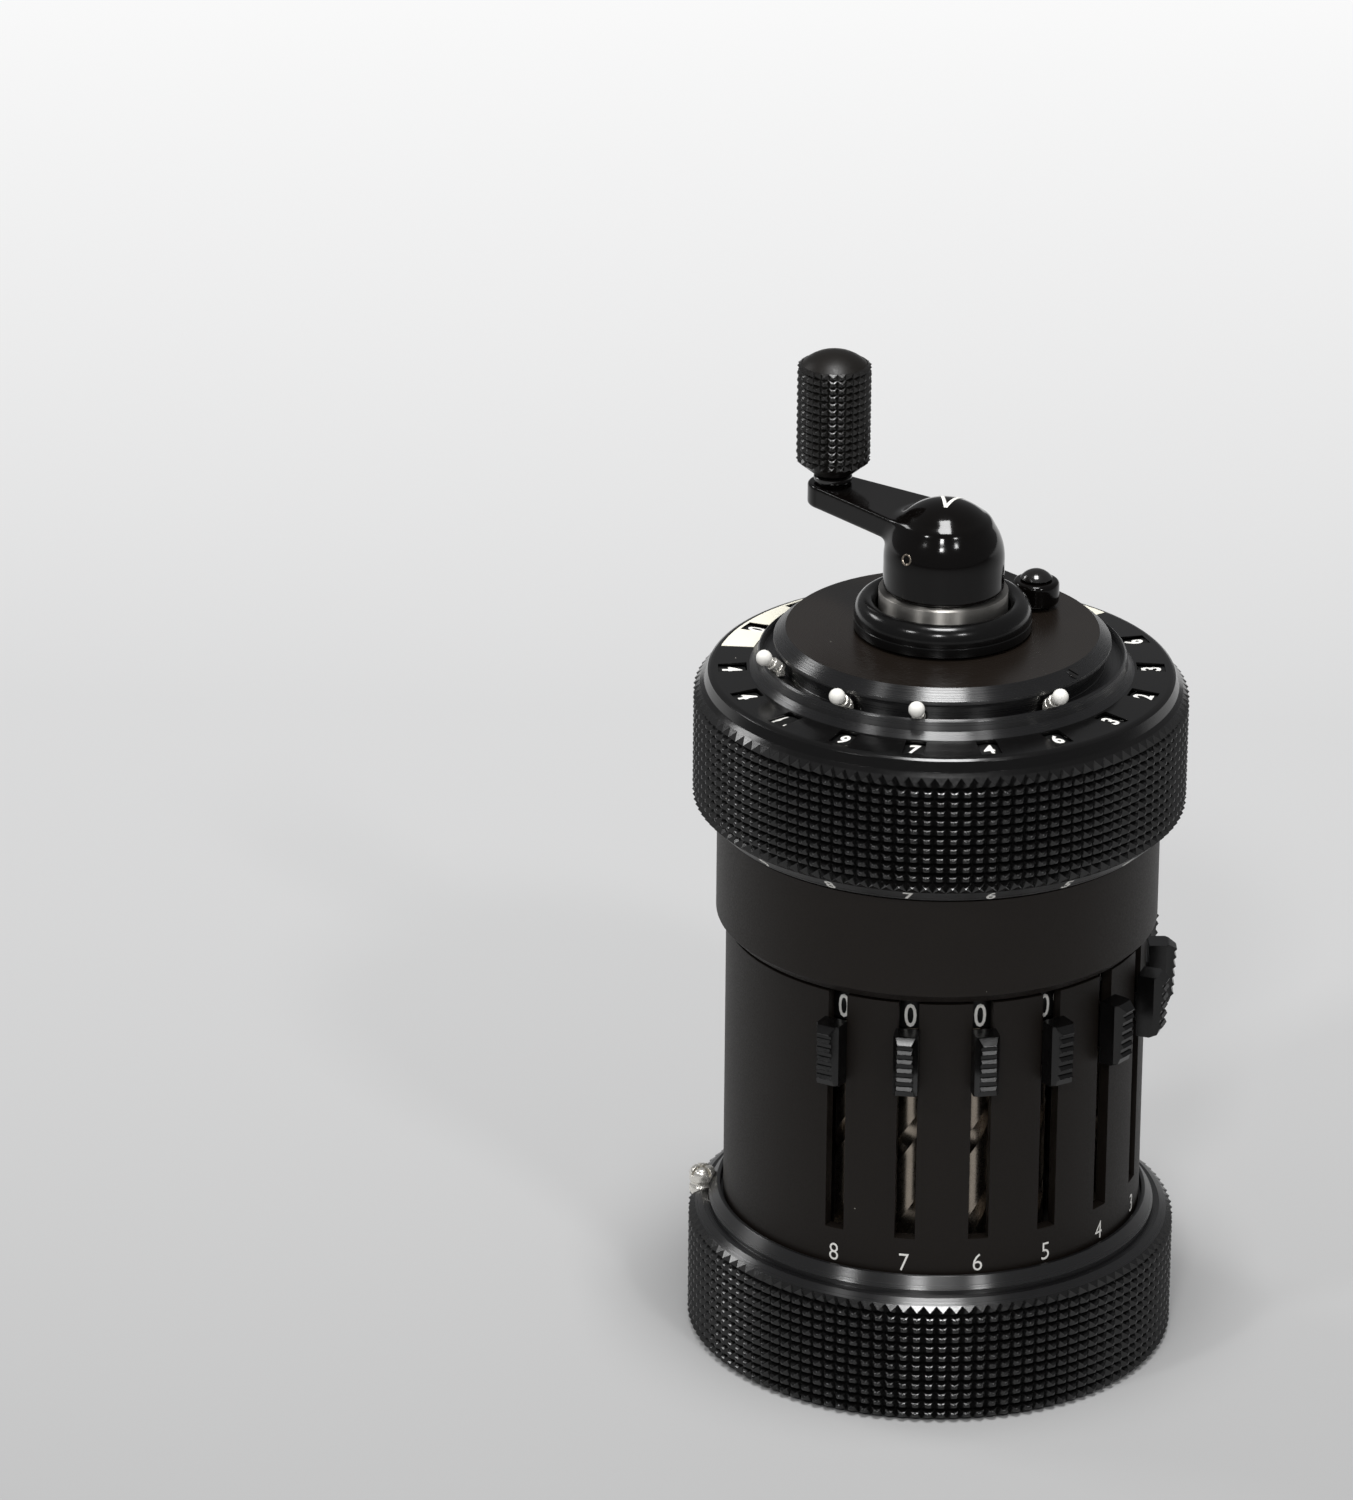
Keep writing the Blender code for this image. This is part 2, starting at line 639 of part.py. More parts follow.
def slotted_sleeve():
    outline = [
        (CASE_BORE, CASE_TOP),
        (CASE_RADIUS, CASE_TOP),
        (CASE_RADIUS, CASE_BOTTOM),
        (CASE_BORE, CASE_BOTTOM),
    ]
    middle_radius = (CASE_RADIUS + CASE_BORE) / 2
    slot_bottom = CASE_BOTTOM + SLOT_FOOT
    slot_length = CASE_TOP + OVERRUN - slot_bottom
    slot_level = slot_bottom + slot_length / 2
    size = (SLOT_WIDTH, CASE_WALL + OVERRUN, slot_length)
    places = [placed(middle_radius, angle, slot_level) for angle in SLIDER_ANGLES]
    slots = helper(blocks("slots_cut", size, places))
    back_level = CASE_TOP - REVERSE_SLOT_DROP - REVERSE_SLOT_LENGTH / 2
    back_size = (SLOT_WIDTH, CASE_WALL + OVERRUN, REVERSE_SLOT_LENGTH)
    back = placed(middle_radius, REVERSE_ANGLE, back_level)
    back_slot = helper(blocks("reverse_slot_cut", back_size, [back]))
    return shaped(turned("slotted_sleeve", outline, RING_SIDES), cuts=[slots, back_slot])


def upper_collar():
    outline = [
        (NECK_BORE, NECK_TOP),
        (NECK_RADIUS, NECK_TOP),
        (NECK_RADIUS, COLLAR_TOP),
        (COLLAR_RADIUS, COLLAR_TOP),
        (COLLAR_RADIUS, COLLAR_BOTTOM + COLLAR_CHAMFER),
        (CASE_RADIUS, COLLAR_BOTTOM),
        (NECK_BORE, COLLAR_BOTTOM),
    ]
    return turned("upper_collar", outline, RING_SIDES)


def bearing_plate(name, radius, bore, bottom, thickness, post_angles, post_top, journals):
    """A round plate with its centre hole, the setting shafts' holes and the posts that stand on it."""
    top = bottom + thickness
    outline = [(bore, top), (radius, top), (radius, bottom), (bore, bottom)]
    post_bottom = bottom + thickness / 2
    post_length = post_top - post_bottom
    post_circle = radius - POST_INSET
    joins = []
    if post_angles:
        places = [placed(post_circle, angle, post_bottom + post_length / 2) for angle in post_angles]
        joins.append(helper(rods(name + "_posts", POST_RADIUS, post_length, places, PEG_SIDES)))
    cuts = []
    if journals:
        hole_radius = SETTING_JOURNAL_RADIUS + RUN_GAP
        places = [placed(SETTING_CIRCLE, angle, bottom + thickness / 2) for angle in SLIDER_ANGLES]
        cuts.append(helper(rods(name + "_holes_cut", hole_radius, thickness + OVERRUN, places, PEG_SIDES)))
    return shaped(turned(name, outline, TUBE_SIDES), joins, cuts)


def knob_sections(height, rise, ridges):
    """Level cuts through a ridged finger knob, from its top down; level 0 is the slider's middle."""
    back = CASE_RADIUS + SEAT_GAP
    top = rise
    bottom = rise - height
    brow = top - KNOB_BROW_DROP
    heel = bottom + KNOB_HEEL_RISE
    rows = [(top, KNOB_TOP_REACH, KNOB_TOP_WIDTH_SHARE * KNOB_WIDTH)]
    steps = 2 * ridges
    for step in range(steps + 1):
        share = step / steps
        reach = KNOB_BROW_REACH + (KNOB_FOOT_REACH - KNOB_BROW_REACH) * share
        if step % 2:
            reach -= KNOB_RIDGE_DEPTH
        rows.append((brow + (heel - brow) * share, reach, KNOB_FRONT_WIDTH))
    rows.append((bottom, KNOB_HEEL_REACH, KNOB_FRONT_WIDTH))
    sections = []
    for level, reach, width in rows:
        front = CASE_RADIUS + reach
        shoulder = back + (front - back) * KNOB_SHOULDER_SHARE
        if level == top:
            shoulder = back + (front - back) * KNOB_TOP_WIDTH_SHARE
        half = [(KNOB_WIDTH / 2, back), (KNOB_WIDTH / 2, shoulder), (width / 2, front)]
        right = [(x, -radius, level) for x, radius in half]
        left = [(-x, -radius, level) for x, radius in reversed(half)]
        sections.append(right + left)
    return sections


def slider(name, height, rise, ridges, peg):
    """Knob outside the case, shank through the slot, shoe inside, and a peg for the setting shaft."""
    shoe_outer = CASE_BORE - SEAT_GAP
    shoe_inner = shoe_outer - SHOE_THICKNESS
    shank_inner = shoe_inner + SHOE_THICKNESS / 2
    shank_outer = CASE_RADIUS + SEAT_GAP + OVERRUN / 2
    shank_size = (SLOT_WIDTH - 2 * SEAT_GAP, shank_outer - shank_inner, SHOE_LENGTH)
    shank = blocks(name + "_shank", shank_size, [placed((shank_outer + shank_inner) / 2, 0, 0)])
    shoe_size = (SHOE_WIDTH, SHOE_THICKNESS, SHOE_LENGTH + SHOE_OVERLAP)
    shoe = blocks(name + "_shoe", shoe_size, [placed((shoe_outer + shoe_inner) / 2, 0, 0)])
    joins = [helper(shank), helper(shoe)]
    if peg:
        peg_inner = SETTING_CIRCLE + PEG_REACH
        length = shank_inner - peg_inner
        lying = placed(peg_inner + length / 2, 0, 0) @ Matrix.Rotation(math.radians(90), 4, "X")
        joins.append(helper(rods(name + "_peg", PEG_RADIUS, length, [lying], PEG_SIDES)))
    return shaped(lofted(name, knob_sections(height, rise, ridges)), joins)


def groove_section(level):
    """The setting shaft's round section with its groove, turned to suit this level."""
    edge = math.sqrt(SETTING_RADIUS**2 - GROOVE_HALF_WIDTH**2)
    opening = math.atan2(GROOVE_HALF_WIDTH, edge)
    points = []
    for index in range(GROOVE_ARC_POINTS):
        share = index / (GROOVE_ARC_POINTS - 1)
        turn = opening + (2 * math.pi - 2 * opening) * share
        points.append(Vector((SETTING_RADIUS * math.sin(turn), -SETTING_RADIUS * math.cos(turn), level)))
    points.append(Vector((-GROOVE_HALF_WIDTH, -GROOVE_FLOOR_RADIUS, level)))
    points.append(Vector((GROOVE_HALF_WIDTH, -GROOVE_FLOOR_RADIUS, level)))
    twist = Matrix.Rotation(2 * math.pi * (level - PEG_LEVEL) / GROOVE_LEAD, 3, "Z")
    return [twist @ point for point in points]


def setting_shaft():
    """Journals, helical groove and digit drum in one piece; the groove meets the slider's peg."""
    journal = SETTING_JOURNAL_RADIUS
    outline = [
        (0, UPPER_PLATE_TOP - JOURNAL_INSET),
        (journal, UPPER_PLATE_TOP - JOURNAL_INSET),
        (journal, DIGIT_DRUM_TOP),
        (DIGIT_DRUM_RADIUS, DIGIT_DRUM_TOP),
        (DIGIT_DRUM_RADIUS, DIGIT_DRUM_BOTTOM),
        (0, DIGIT_DRUM_BOTTOM),
    ]
    groove_top = DIGIT_DRUM_BOTTOM + JOURNAL_INSET
    foot_bottom = LOWER_PLATE_BOTTOM + JOURNAL_INSET
    foot_length = SETTING_BOTTOM + JOURNAL_INSET - foot_bottom
    foot_place = Matrix.Translation((0, 0, foot_bottom + foot_length / 2))
    foot = helper(rods("setting_foot", journal, foot_length, [foot_place], DIGIT_SIDES))
    rise = (groove_top - SETTING_BOTTOM) / GROOVE_STEPS
    levels = [SETTING_BOTTOM + rise * step for step in range(GROOVE_STEPS + 1)]
    grooved = helper(lofted("setting_groove", [groove_section(level) for level in levels]))
    return shaped(turned("setting_shaft", outline, DIGIT_SIDES), joins=[grooved, foot])


def lift_sleeve():
    outline = [
        (LIFT_SLEEVE_BORE, LIFT_SLEEVE_TOP),
        (LIFT_SLEEVE_RADIUS, LIFT_SLEEVE_TOP),
        (LIFT_SLEEVE_RADIUS, LIFT_SLEEVE_BOTTOM),
        (LIFT_SLEEVE_BORE, LIFT_SLEEVE_BOTTOM),
    ]
    return turned("lift_sleeve", outline, TUBE_SIDES)


def main_shaft():
    head = LIFT_SLEEVE_BORE - RUN_GAP
    top = DOME_BORE_TOP - SEAT_GAP
    step = LOWER_PLATE_TOP + MAIN_SHAFT_STEP_RISE
    outline = [
        (0, top),
        (head, top),
        (head, UPPER_PLATE_TOP),
        (MAIN_SHAFT_RADIUS, UPPER_PLATE_TOP),
        (MAIN_SHAFT_RADIUS, step),
        (MAIN_SHAFT_TAIL_RADIUS, step),
        (MAIN_SHAFT_TAIL_RADIUS, MAIN_SHAFT_BOTTOM),
        (0, MAIN_SHAFT_BOTTOM),
    ]
    return turned("main_shaft", outline, SHAFT_SIDES)


def step_drum():
    """Drum with teeth of nine lengths, each longer than the last by one setting step."""
    bore = MAIN_SHAFT_RADIUS + RUN_GAP
    outline = [
        (bore, STEP_DRUM_TOP),
        (STEP_DRUM_RADIUS, STEP_DRUM_TOP),
        (STEP_DRUM_RADIUS, STEP_DRUM_BOTTOM),
        (bore, STEP_DRUM_BOTTOM),
    ]
    depth = STEP_TOOTH_ROOT + STEP_TOOTH_HEIGHT
    middle_radius = STEP_DRUM_RADIUS + STEP_TOOTH_HEIGHT - depth / 2
    teeth = []
    for index in range(STEP_TOOTH_COUNT):
        length = STEP_TOOTH_RISE * (index + 1)
        place = placed(middle_radius, STEP_TOOTH_ANGLE * index, STEP_DRUM_BOTTOM + STEP_TOOTH_ROOT + length / 2)
        teeth.append(helper(blocks(f"step_tooth_{index + 1}", (STEP_TOOTH_WIDTH, depth, length), [place])))
    return shaped(turned("step_drum", outline, TUBE_SIDES), joins=teeth)


def carriage_column():
    """Tube that the carriage turns on, with a flange inside the neck and the hub on top."""
    flange = COLUMN_RADIUS + COLUMN_FLANGE_WIDTH
    flange_top = COLUMN_BOTTOM + COLUMN_FLANGE_THICKNESS
    outline = [
        (COLUMN_BORE, HUB_TOP),
        (HUB_RADIUS - HUB_EDGE, HUB_TOP),
        (HUB_RADIUS, HUB_TOP - HUB_EDGE),
        (HUB_RADIUS, HUB_BOTTOM),
        (COLUMN_RADIUS, HUB_BOTTOM),
        (COLUMN_RADIUS, flange_top),
        (flange, flange_top),
        (flange, COLUMN_BOTTOM),
        (COLUMN_BORE, COLUMN_BOTTOM),
    ]
    return turned("carriage_column", outline, TUBE_SIDES)


def carriage_outline():
    bore = NECK_RADIUS + CARRIAGE_CLEARANCE
    knurl_bottom = CARRIAGE_BOTTOM + CARRIAGE_CHAMFER
    face_edge = (RING_RADIUS - RIM_WIDTH, CARRIAGE_TOP - FACE_FALL)
    rim = [(face_edge[0] + RIM_WIDTH * out, face_edge[1] - RIM_DROP * down) for out, down in RIM_SHARES]
    lip_foot = CAVITY_INNER + LIP_FOOT_WIDTH
    lip_shoulder = CAVITY_INNER + LIP_SHOULDER_WIDTH
    lip_crest = CHANNEL_OUTER + (lip_shoulder - CHANNEL_OUTER) * LIP_CREST_SHARE
    lip_level = CARRIAGE_TOP + LIP_HEIGHT
    slope_level = CARRIAGE_TOP + LIP_HEIGHT * LIP_SLOPE_SHARE
    partition_inner = CAVITY_INNER - PARTITION_WALL
    partition_bottom = CARRIAGE_TOP - PARTITION_DEPTH
    underside = DISC_TOP - DISC_THICKNESS
    underface = CARRIAGE_TOP - FACE_THICKNESS
    tube_radius = CARRIAGE_BORE + CARRIAGE_TUBE_WALL
    return [
        (CHANNEL_INNER, DISC_TOP),
        (CHANNEL_INNER, CHANNEL_FLOOR),
        (CHANNEL_OUTER, CHANNEL_FLOOR),
        (CHANNEL_OUTER, slope_level),
        (lip_crest, lip_level),
        (lip_shoulder, slope_level),
        (lip_foot, CARRIAGE_TOP),
        face_edge,
        *rim,
        (RING_RADIUS, face_edge[1] - RIM_DROP),
        (RING_RADIUS, knurl_bottom),
        (bore + CARRIAGE_FOOT_WALL, CARRIAGE_BOTTOM),
        (bore, CARRIAGE_BOTTOM),
        (bore, knurl_bottom),
        (CAVITY_OUTER, knurl_bottom + CARRIAGE_GUIDE_SLOPE),
        (CAVITY_OUTER, underface - CAVITY_EDGE_DROP),
        (CAVITY_OUTER - CAVITY_EDGE_WIDTH, underface),
        (CAVITY_INNER, underface),
        (CAVITY_INNER, partition_bottom),
        (partition_inner, partition_bottom),
        (partition_inner, underside),
        (tube_radius, underside),
        (tube_radius, DISC_TOP - CARRIAGE_TUBE_LENGTH),
        (CARRIAGE_BORE, DISC_TOP - CARRIAGE_TUBE_LENGTH),
        (CARRIAGE_BORE, DISC_TOP),
    ]


def dial_angles():
    result = [RESULT_FIRST_ANGLE + DIAL_ANGLE_STEP * index for index in range(RESULT_DIALS)]
    counter = [COUNTER_FIRST_ANGLE + DIAL_ANGLE_STEP * index for index in range(COUNTER_DIALS)]
    return result, counter


def carriage_ring():
    """Knurled ring, window face, marker channel and centre disc in one turned piece."""
    result, counter = dial_angles()
    window_circle = RING_RADIUS - WINDOW_INSET
    window_depth = FACE_THICKNESS + 2 * OVERRUN
    window_level = CARRIAGE_TOP - FACE_THICKNESS / 2
    size = (WINDOW_WIDTH, WINDOW_LENGTH, window_depth)
    places = [placed(window_circle, angle, window_level) for angle in result + counter]
    windows = helper(blocks("windows_cut", size, places))
    knurl_top = CARRIAGE_TOP - FACE_FALL - RIM_DROP
    ring = turned("carriage_ring", carriage_outline(), RING_SIDES)
    return shaped(knurled(ring, CARRIAGE_BOTTOM + CARRIAGE_CHAMFER, knurl_top), cuts=[windows])


def number_dial(name):
    """Drum with ten flats for its digits, a journal outside and a pinion inside; level runs outwards."""
    drum_outer = DIAL_OUTER - DIAL_INNER - DIAL_DRUM_INSET + SEAT_GAP
    drum_inner = drum_outer - DIAL_DRUM_LENGTH
    length = DIAL_OUTER - DIAL_INNER
    outline = [
        (0, length),
        (DIAL_JOURNAL_RADIUS, length),
        (DIAL_JOURNAL_RADIUS, drum_outer),
        (DIAL_RADIUS, drum_outer),
        (DIAL_RADIUS, drum_inner),
        (DIAL_PINION_RADIUS, drum_inner),
        (DIAL_PINION_RADIUS, 0),
        (0, 0),
    ]
    return turned(name, outline, DIGIT_SIDES)


def clearing_plate():
    outline = [
        (CARRIAGE_BORE, CLEAR_PLATE_TOP),
        (CLEAR_PLATE_RADIUS - CLEAR_PLATE_BEVEL, CLEAR_PLATE_TOP),
        (CLEAR_PLATE_RADIUS, CLEAR_PLATE_BOTTOM + CLEAR_PLATE_EDGE),
        (CLEAR_PLATE_RADIUS, CLEAR_PLATE_BOTTOM),
        (CARRIAGE_BORE, CLEAR_PLATE_BOTTOM),
    ]
    depth = 2 * LEVER_SCREW_SINK
    hole = rods("lever_screw_cut", LEVER_HOLE_RADIUS, depth, [placed(LEVER_CIRCLE, LEVER_ANGLE, CLEAR_PLATE_TOP)])
    return shaped(turned("clearing_plate", outline, RING_SIDES), cuts=[helper(hole)])


def clearing_lever():
    """Eye, arm and finger ring, lying along -Y from the pivot; level 0 is the underside."""
    outer = FINGER_RING_RADIUS
    inner = outer - FINGER_RING_WIDTH
    edge = FINGER_RING_EDGE
    ring_outline = [
        (inner + edge, LEVER_THICKNESS),
        (outer - edge, LEVER_THICKNESS),
        (outer, LEVER_THICKNESS - edge),
        (outer, edge),
        (outer - edge, 0),
        (inner + edge, 0),
        (inner, edge),
        (inner, LEVER_THICKNESS - edge),
    ]
    ring = helper(
        turned("finger_ring", ring_outline, TUBE_SIDES),
        Matrix.Translation((0, -LEVER_LENGTH, 0)),
    )
    arm_length = LEVER_LENGTH - (inner + outer) / 2
    arm_size = (LEVER_ARM_WIDTH, arm_length, LEVER_THICKNESS - edge)
    arm_place = Matrix.Translation((0, -arm_length / 2, LEVER_THICKNESS / 2))
    arm = helper(blocks("lever_arm", arm_size, [arm_place]))
    eye = rods("clearing_lever", EYE_RADIUS, EYE_HEIGHT, [Matrix.Translation((0, 0, EYE_HEIGHT / 2))], SHAFT_SIDES)
    hole_length = EYE_HEIGHT + 2 * OVERRUN
    hole_place = Matrix.Translation((0, 0, EYE_HEIGHT / 2))
    hole = helper(rods("lever_eye_cut", LEVER_HOLE_RADIUS, hole_length, [hole_place]))
    return shaped(eye, joins=[arm, ring], cuts=[hole])


def lever_screw():
    """Domed screw; level 0 is the underside of its head."""
    shank = EYE_HEIGHT + 2 * SEAT_GAP + LEVER_SCREW_SINK - SEAT_GAP
    dome = [
        (LEVER_SCREW_HEAD_RADIUS * out, LEVER_SCREW_HEAD_HEIGHT * up) for out, up in SCREW_DOME_SHARES
    ]
    outline = [
        *dome,
        (LEVER_SCREW_HEAD_RADIUS, 0),
        (LEVER_SCREW_RADIUS, 0),
        (LEVER_SCREW_RADIUS, -shank),
        (0, -shank),
    ]
    return turned("lever_screw", outline, PIN_SIDES)


def decimal_marker():
    """Ball on a sloping pin that stands on a foot in the channel; its origin is on the main axis."""
    foot_inner = CHANNEL_INNER + MARKER_INNER_CLEARANCE
    foot_outer = CHANNEL_OUTER - SEAT_GAP
    foot_bottom = CHANNEL_FLOOR + SEAT_GAP
    size = (MARKER_FOOT_WIDTH, foot_outer - foot_inner, MARKER_FOOT_HEIGHT)
    place = placed((foot_inner + foot_outer) / 2, 0, foot_bottom + MARKER_FOOT_HEIGHT / 2)
    foot = blocks("decimal_marker", size, [place])
    ball = [(MARKER_BALL_RADIUS * out, MARKER_BALL_RADIUS * up) for out, up in BALL_SHARES]
    collar_top = -MARKER_COLLAR_START
    outline = [
        *ball,
        (MARKER_NECK_RADIUS, -MARKER_BALL_RADIUS),
        (MARKER_NECK_RADIUS, collar_top),
        (MARKER_COLLAR_RADIUS, collar_top),
        (MARKER_COLLAR_RADIUS, -MARKER_PIN_LENGTH),
        (0, -MARKER_PIN_LENGTH),
    ]
    ball_place = placed(CHANNEL_OUTER + MARKER_BALL_OUT, 0, CHANNEL_FLOOR + MARKER_BALL_RISE)
    leaning = ball_place @ Matrix.Rotation(math.radians(MARKER_TILT), 4, "X")
    pin = helper(turned("marker_pin", outline, PEG_SIDES), leaning)
    return shaped(foot, joins=[pin])


def crank_arm_outline():
    """Half the arm's outline down one side and back up the other, from the dome to its round end."""
    root = ARM_ROOT_WIDTH / 2
    tip = ARM_TIP_WIDTH / 2
    side = [(root * out, -DOME_RADIUS * along) for out, along in reversed(ARM_FLARE_SHARES)]
    points = [(x, y) for x, y in side]
    for index in range(ARM_TIP_POINTS + 1):
        turn = math.pi * index / ARM_TIP_POINTS
        points.append((tip * math.cos(turn), -ARM_REACH - tip * math.sin(turn)))
    points += [(-x, y) for x, y in reversed(side)]
    points += [(-tip, 0), (tip, 0)]
    return points


def crank():
    """Domed cap over the main shaft with the arm grown out of it along -Y."""
    bore = LIFT_SLEEVE_BORE
    dome = []
    for step in range(DOME_STEPS + 1):
        turn = math.pi / 2 * step / DOME_STEPS
        dome.append((DOME_RADIUS * math.sin(turn), DOME_CENTRE + DOME_RADIUS * math.cos(turn)))
    outline = [
        *dome,
        (DOME_RADIUS, DOME_BOTTOM),
        (bore, DOME_BOTTOM),
        (bore, DOME_BORE_TOP),
        (0, DOME_BORE_TOP),
    ]
    arm_mesh = sheet("crank_arm", crank_arm_outline(), ARM_THICKNESS, ARM_EDGE)
    arm = helper(arm_mesh, Matrix.Translation((0, 0, ARM_TOP)))
    hole_place = placed(ARM_REACH, 0, ARM_BOTTOM + ARM_THICKNESS / 2)
    hole_length = ARM_THICKNESS + 2 * OVERRUN
    hole = helper(rods("handle_pin_cut", HANDLE_PIN_RADIUS + SEAT_GAP, hole_length, [hole_place]))
    return shaped(turned("crank", outline, TUBE_SIDES), joins=[arm], cuts=[hole])


def handle_pin():
    outline = [
        (0, HANDLE_BORE_TOP - SEAT_GAP),
        (HANDLE_PIN_RADIUS, HANDLE_BORE_TOP - SEAT_GAP),
        (HANDLE_PIN_RADIUS, PIN_FLANGE_BOTTOM + PIN_FLANGE_THICKNESS),
        (HANDLE_NECK_RADIUS, PIN_FLANGE_BOTTOM + PIN_FLANGE_THICKNESS),
        (HANDLE_NECK_RADIUS, PIN_FLANGE_BOTTOM),
        (HANDLE_PIN_RADIUS, PIN_FLANGE_BOTTOM),
        (HANDLE_PIN_RADIUS, ARM_BOTTOM + PIN_TAIL_GAP),
        (0, ARM_BOTTOM + PIN_TAIL_GAP),
    ]
    return turned("handle_pin", outline, PIN_SIDES)


def handle_knob():
    bore = HANDLE_PIN_RADIUS + RUN_GAP
    crown_bottom = HANDLE_TOP - HANDLE_CROWN
    crown = [(HANDLE_RADIUS * out, crown_bottom + HANDLE_CROWN * up) for out, up in HANDLE_CROWN_SHARES]
    outline = [
        *crown,
        (HANDLE_RADIUS, crown_bottom),
        (HANDLE_RADIUS, HANDLE_BOTTOM + HANDLE_TAPER),
        (HANDLE_NECK_RADIUS, HANDLE_BOTTOM),
        (bore, HANDLE_BOTTOM),
        (bore, HANDLE_BORE_TOP),
        (0, HANDLE_BORE_TOP),
    ]
    return turned("handle_knob", outline, TUBE_SIDES)


def build_housing(housing):
    piece("base_ring", base_ring(), "satin_black", housing)
    piece("base_plate", base_plate(), "matte_black", housing)
    stud_place = polar(RING_RADIUS - STUD_INSET, STUD_ANGLE, BASE_HEIGHT - STUD_SEAT_DROP + SEAT_GAP)
    piece("case_lock_stud", lock_stud(), "bright_steel", housing, stud_place)
    piece("slotted_sleeve", slotted_sleeve(), "matte_black", housing)
    piece("upper_collar", upper_collar(), "satin_black", housing)
    lower = bearing_plate(
        "lower_bearing_plate",
        CASE_BORE - SEAT_GAP,
        MAIN_SHAFT_TAIL_RADIUS + RUN_GAP,
        LOWER_PLATE_BOTTOM,
        PLATE_THICKNESS,
        LOWER_POST_ANGLES,
        UPPER_PLATE_BOTTOM - SEAT_GAP,
        True,
    )
    piece("lower_bearing_plate", lower, "bright_steel", housing)
    upper = bearing_plate(
        "upper_bearing_plate",
        NECK_BORE - SEAT_GAP,
        LIFT_SLEEVE_RADIUS + RUN_GAP,
        UPPER_PLATE_BOTTOM,
        PLATE_THICKNESS,
        UPPER_POST_ANGLES,
        TOP_PLATE_BOTTOM - SEAT_GAP,
        True,
    )
    piece("upper_bearing_plate", upper, "bright_steel", housing)
    top = bearing_plate(
        "top_bearing_plate",
        NECK_BORE - SEAT_GAP,
        CARRIAGE_BORE,
        TOP_PLATE_BOTTOM,
        TOP_PLATE_THICKNESS,
        (),
        TOP_PLATE_TOP,
        False,
    )
    piece("top_bearing_plate", top, "bright_steel", housing)


def build_setting(housing):
    """Eight sliders and shafts, numbered from the first place at the right of the front."""
    knob = slider("setting_slider", KNOB_HEIGHT, KNOB_RISE, KNOB_RIDGES, True)
    shaft = setting_shaft()
    for index, angle in enumerate(reversed(SLIDER_ANGLES)):
        turn = (0, 0, math.radians(angle))
        piece(f"setting_slider_{index + 1}", knob, "gloss_black", housing, (0, 0, PEG_LEVEL), turn)
        place = polar(SETTING_CIRCLE, angle, 0)
        piece(f"setting_shaft_{index + 1}", shaft, "bright_steel", housing, place, turn)
    lever = slider("reversing_lever", REVERSE_KNOB_HEIGHT, REVERSE_KNOB_RISE, REVERSE_RIDGES, False)
    turn = (0, 0, math.radians(REVERSE_ANGLE))
    piece("reversing_lever", lever, "gloss_black", housing, (0, 0, REVERSE_LEVEL), turn)


def build_crank(housing):
    lift = axis_frame("crank_lift_frame", housing)
    turning = axis_frame("crank_frame", lift)
    piece("lift_sleeve", lift_sleeve(), "bright_steel", lift)
    piece("main_shaft", main_shaft(), "bright_steel", turning)
    piece("step_drum", step_drum(), "bright_steel", turning)
    piece("crank", crank(), "gloss_black", turning, (0, 0, 0), (0, 0, math.radians(CRANK_ANGLE)))
    grip_axis = polar(ARM_REACH, CRANK_ANGLE, 0)
    piece("handle_pin", handle_pin(), "bright_steel", turning, grip_axis)
    grip = axis_frame("handle_frame", turning, grip_axis)
    piece("handle_knob", handle_knob(), "matte_black", grip)


def build_carriage(housing):
    lift = axis_frame("carriage_lift_frame", housing)
    turning = axis_frame("carriage_frame", lift)
    piece("carriage_column", carriage_column(), "satin_black", lift)
    piece("carriage_ring", carriage_ring(), "satin_black", turning)
    result, counter = dial_angles()
    for name, angles, look in (("result_dial", result, "dial_black"), ("counter_dial", counter, "dial_ivory")):
        dial = number_dial(name)
        for index, angle in enumerate(reversed(angles)):
            place = polar(DIAL_INNER, angle, DIAL_LEVEL)
            turn = (math.radians(90), 0, math.radians(angle))
            piece(f"{name}_{index + 1}", dial, look, turning, place, turn)
    marker = decimal_marker()
    for index, angle in enumerate(MARKER_ANGLES):
        turn = (0, 0, math.radians(angle))
        piece(f"decimal_marker_{index + 1}", marker, "marker_white", turning, (0, 0, 0), turn)
    clearing = axis_frame("clearing_frame", turning)
    piece("clearing_plate", clearing_plate(), "warm_grey", clearing)
    pivot = polar(LEVER_CIRCLE, LEVER_ANGLE, LEVER_BOTTOM)
    swing = math.pi - math.radians(LEVER_SWING)
    piece("clearing_lever", clearing_lever(), "satin_black", clearing, pivot, (0, 0, swing))
    head = pivot + Vector((0, 0, EYE_HEIGHT + SEAT_GAP))
    piece("lever_screw", lever_screw(), "gloss_black", clearing, head)


clear_scene()
parts = new_collection("pocket_calculator")
tools = new_collection("cutters")
housing_frame = axis_frame("housing_frame")
build_housing(housing_frame)
build_setting(housing_frame)
build_crank(housing_frame)
build_carriage(housing_frame)
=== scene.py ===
"""Looks of a drum-shaped pocket calculator: knurled rings, slotted case with eight sliders,
a carriage with number windows and a crank on top.

Shapes are made in millimetres round the upright axis, facing the front at -Y, then turned to
their place; angles run from the front towards +X. show() brings each mesh to metres.
"""

import math
from functools import cache

import bmesh
import bpy
import numpy as np
from mathutils import Matrix, Vector


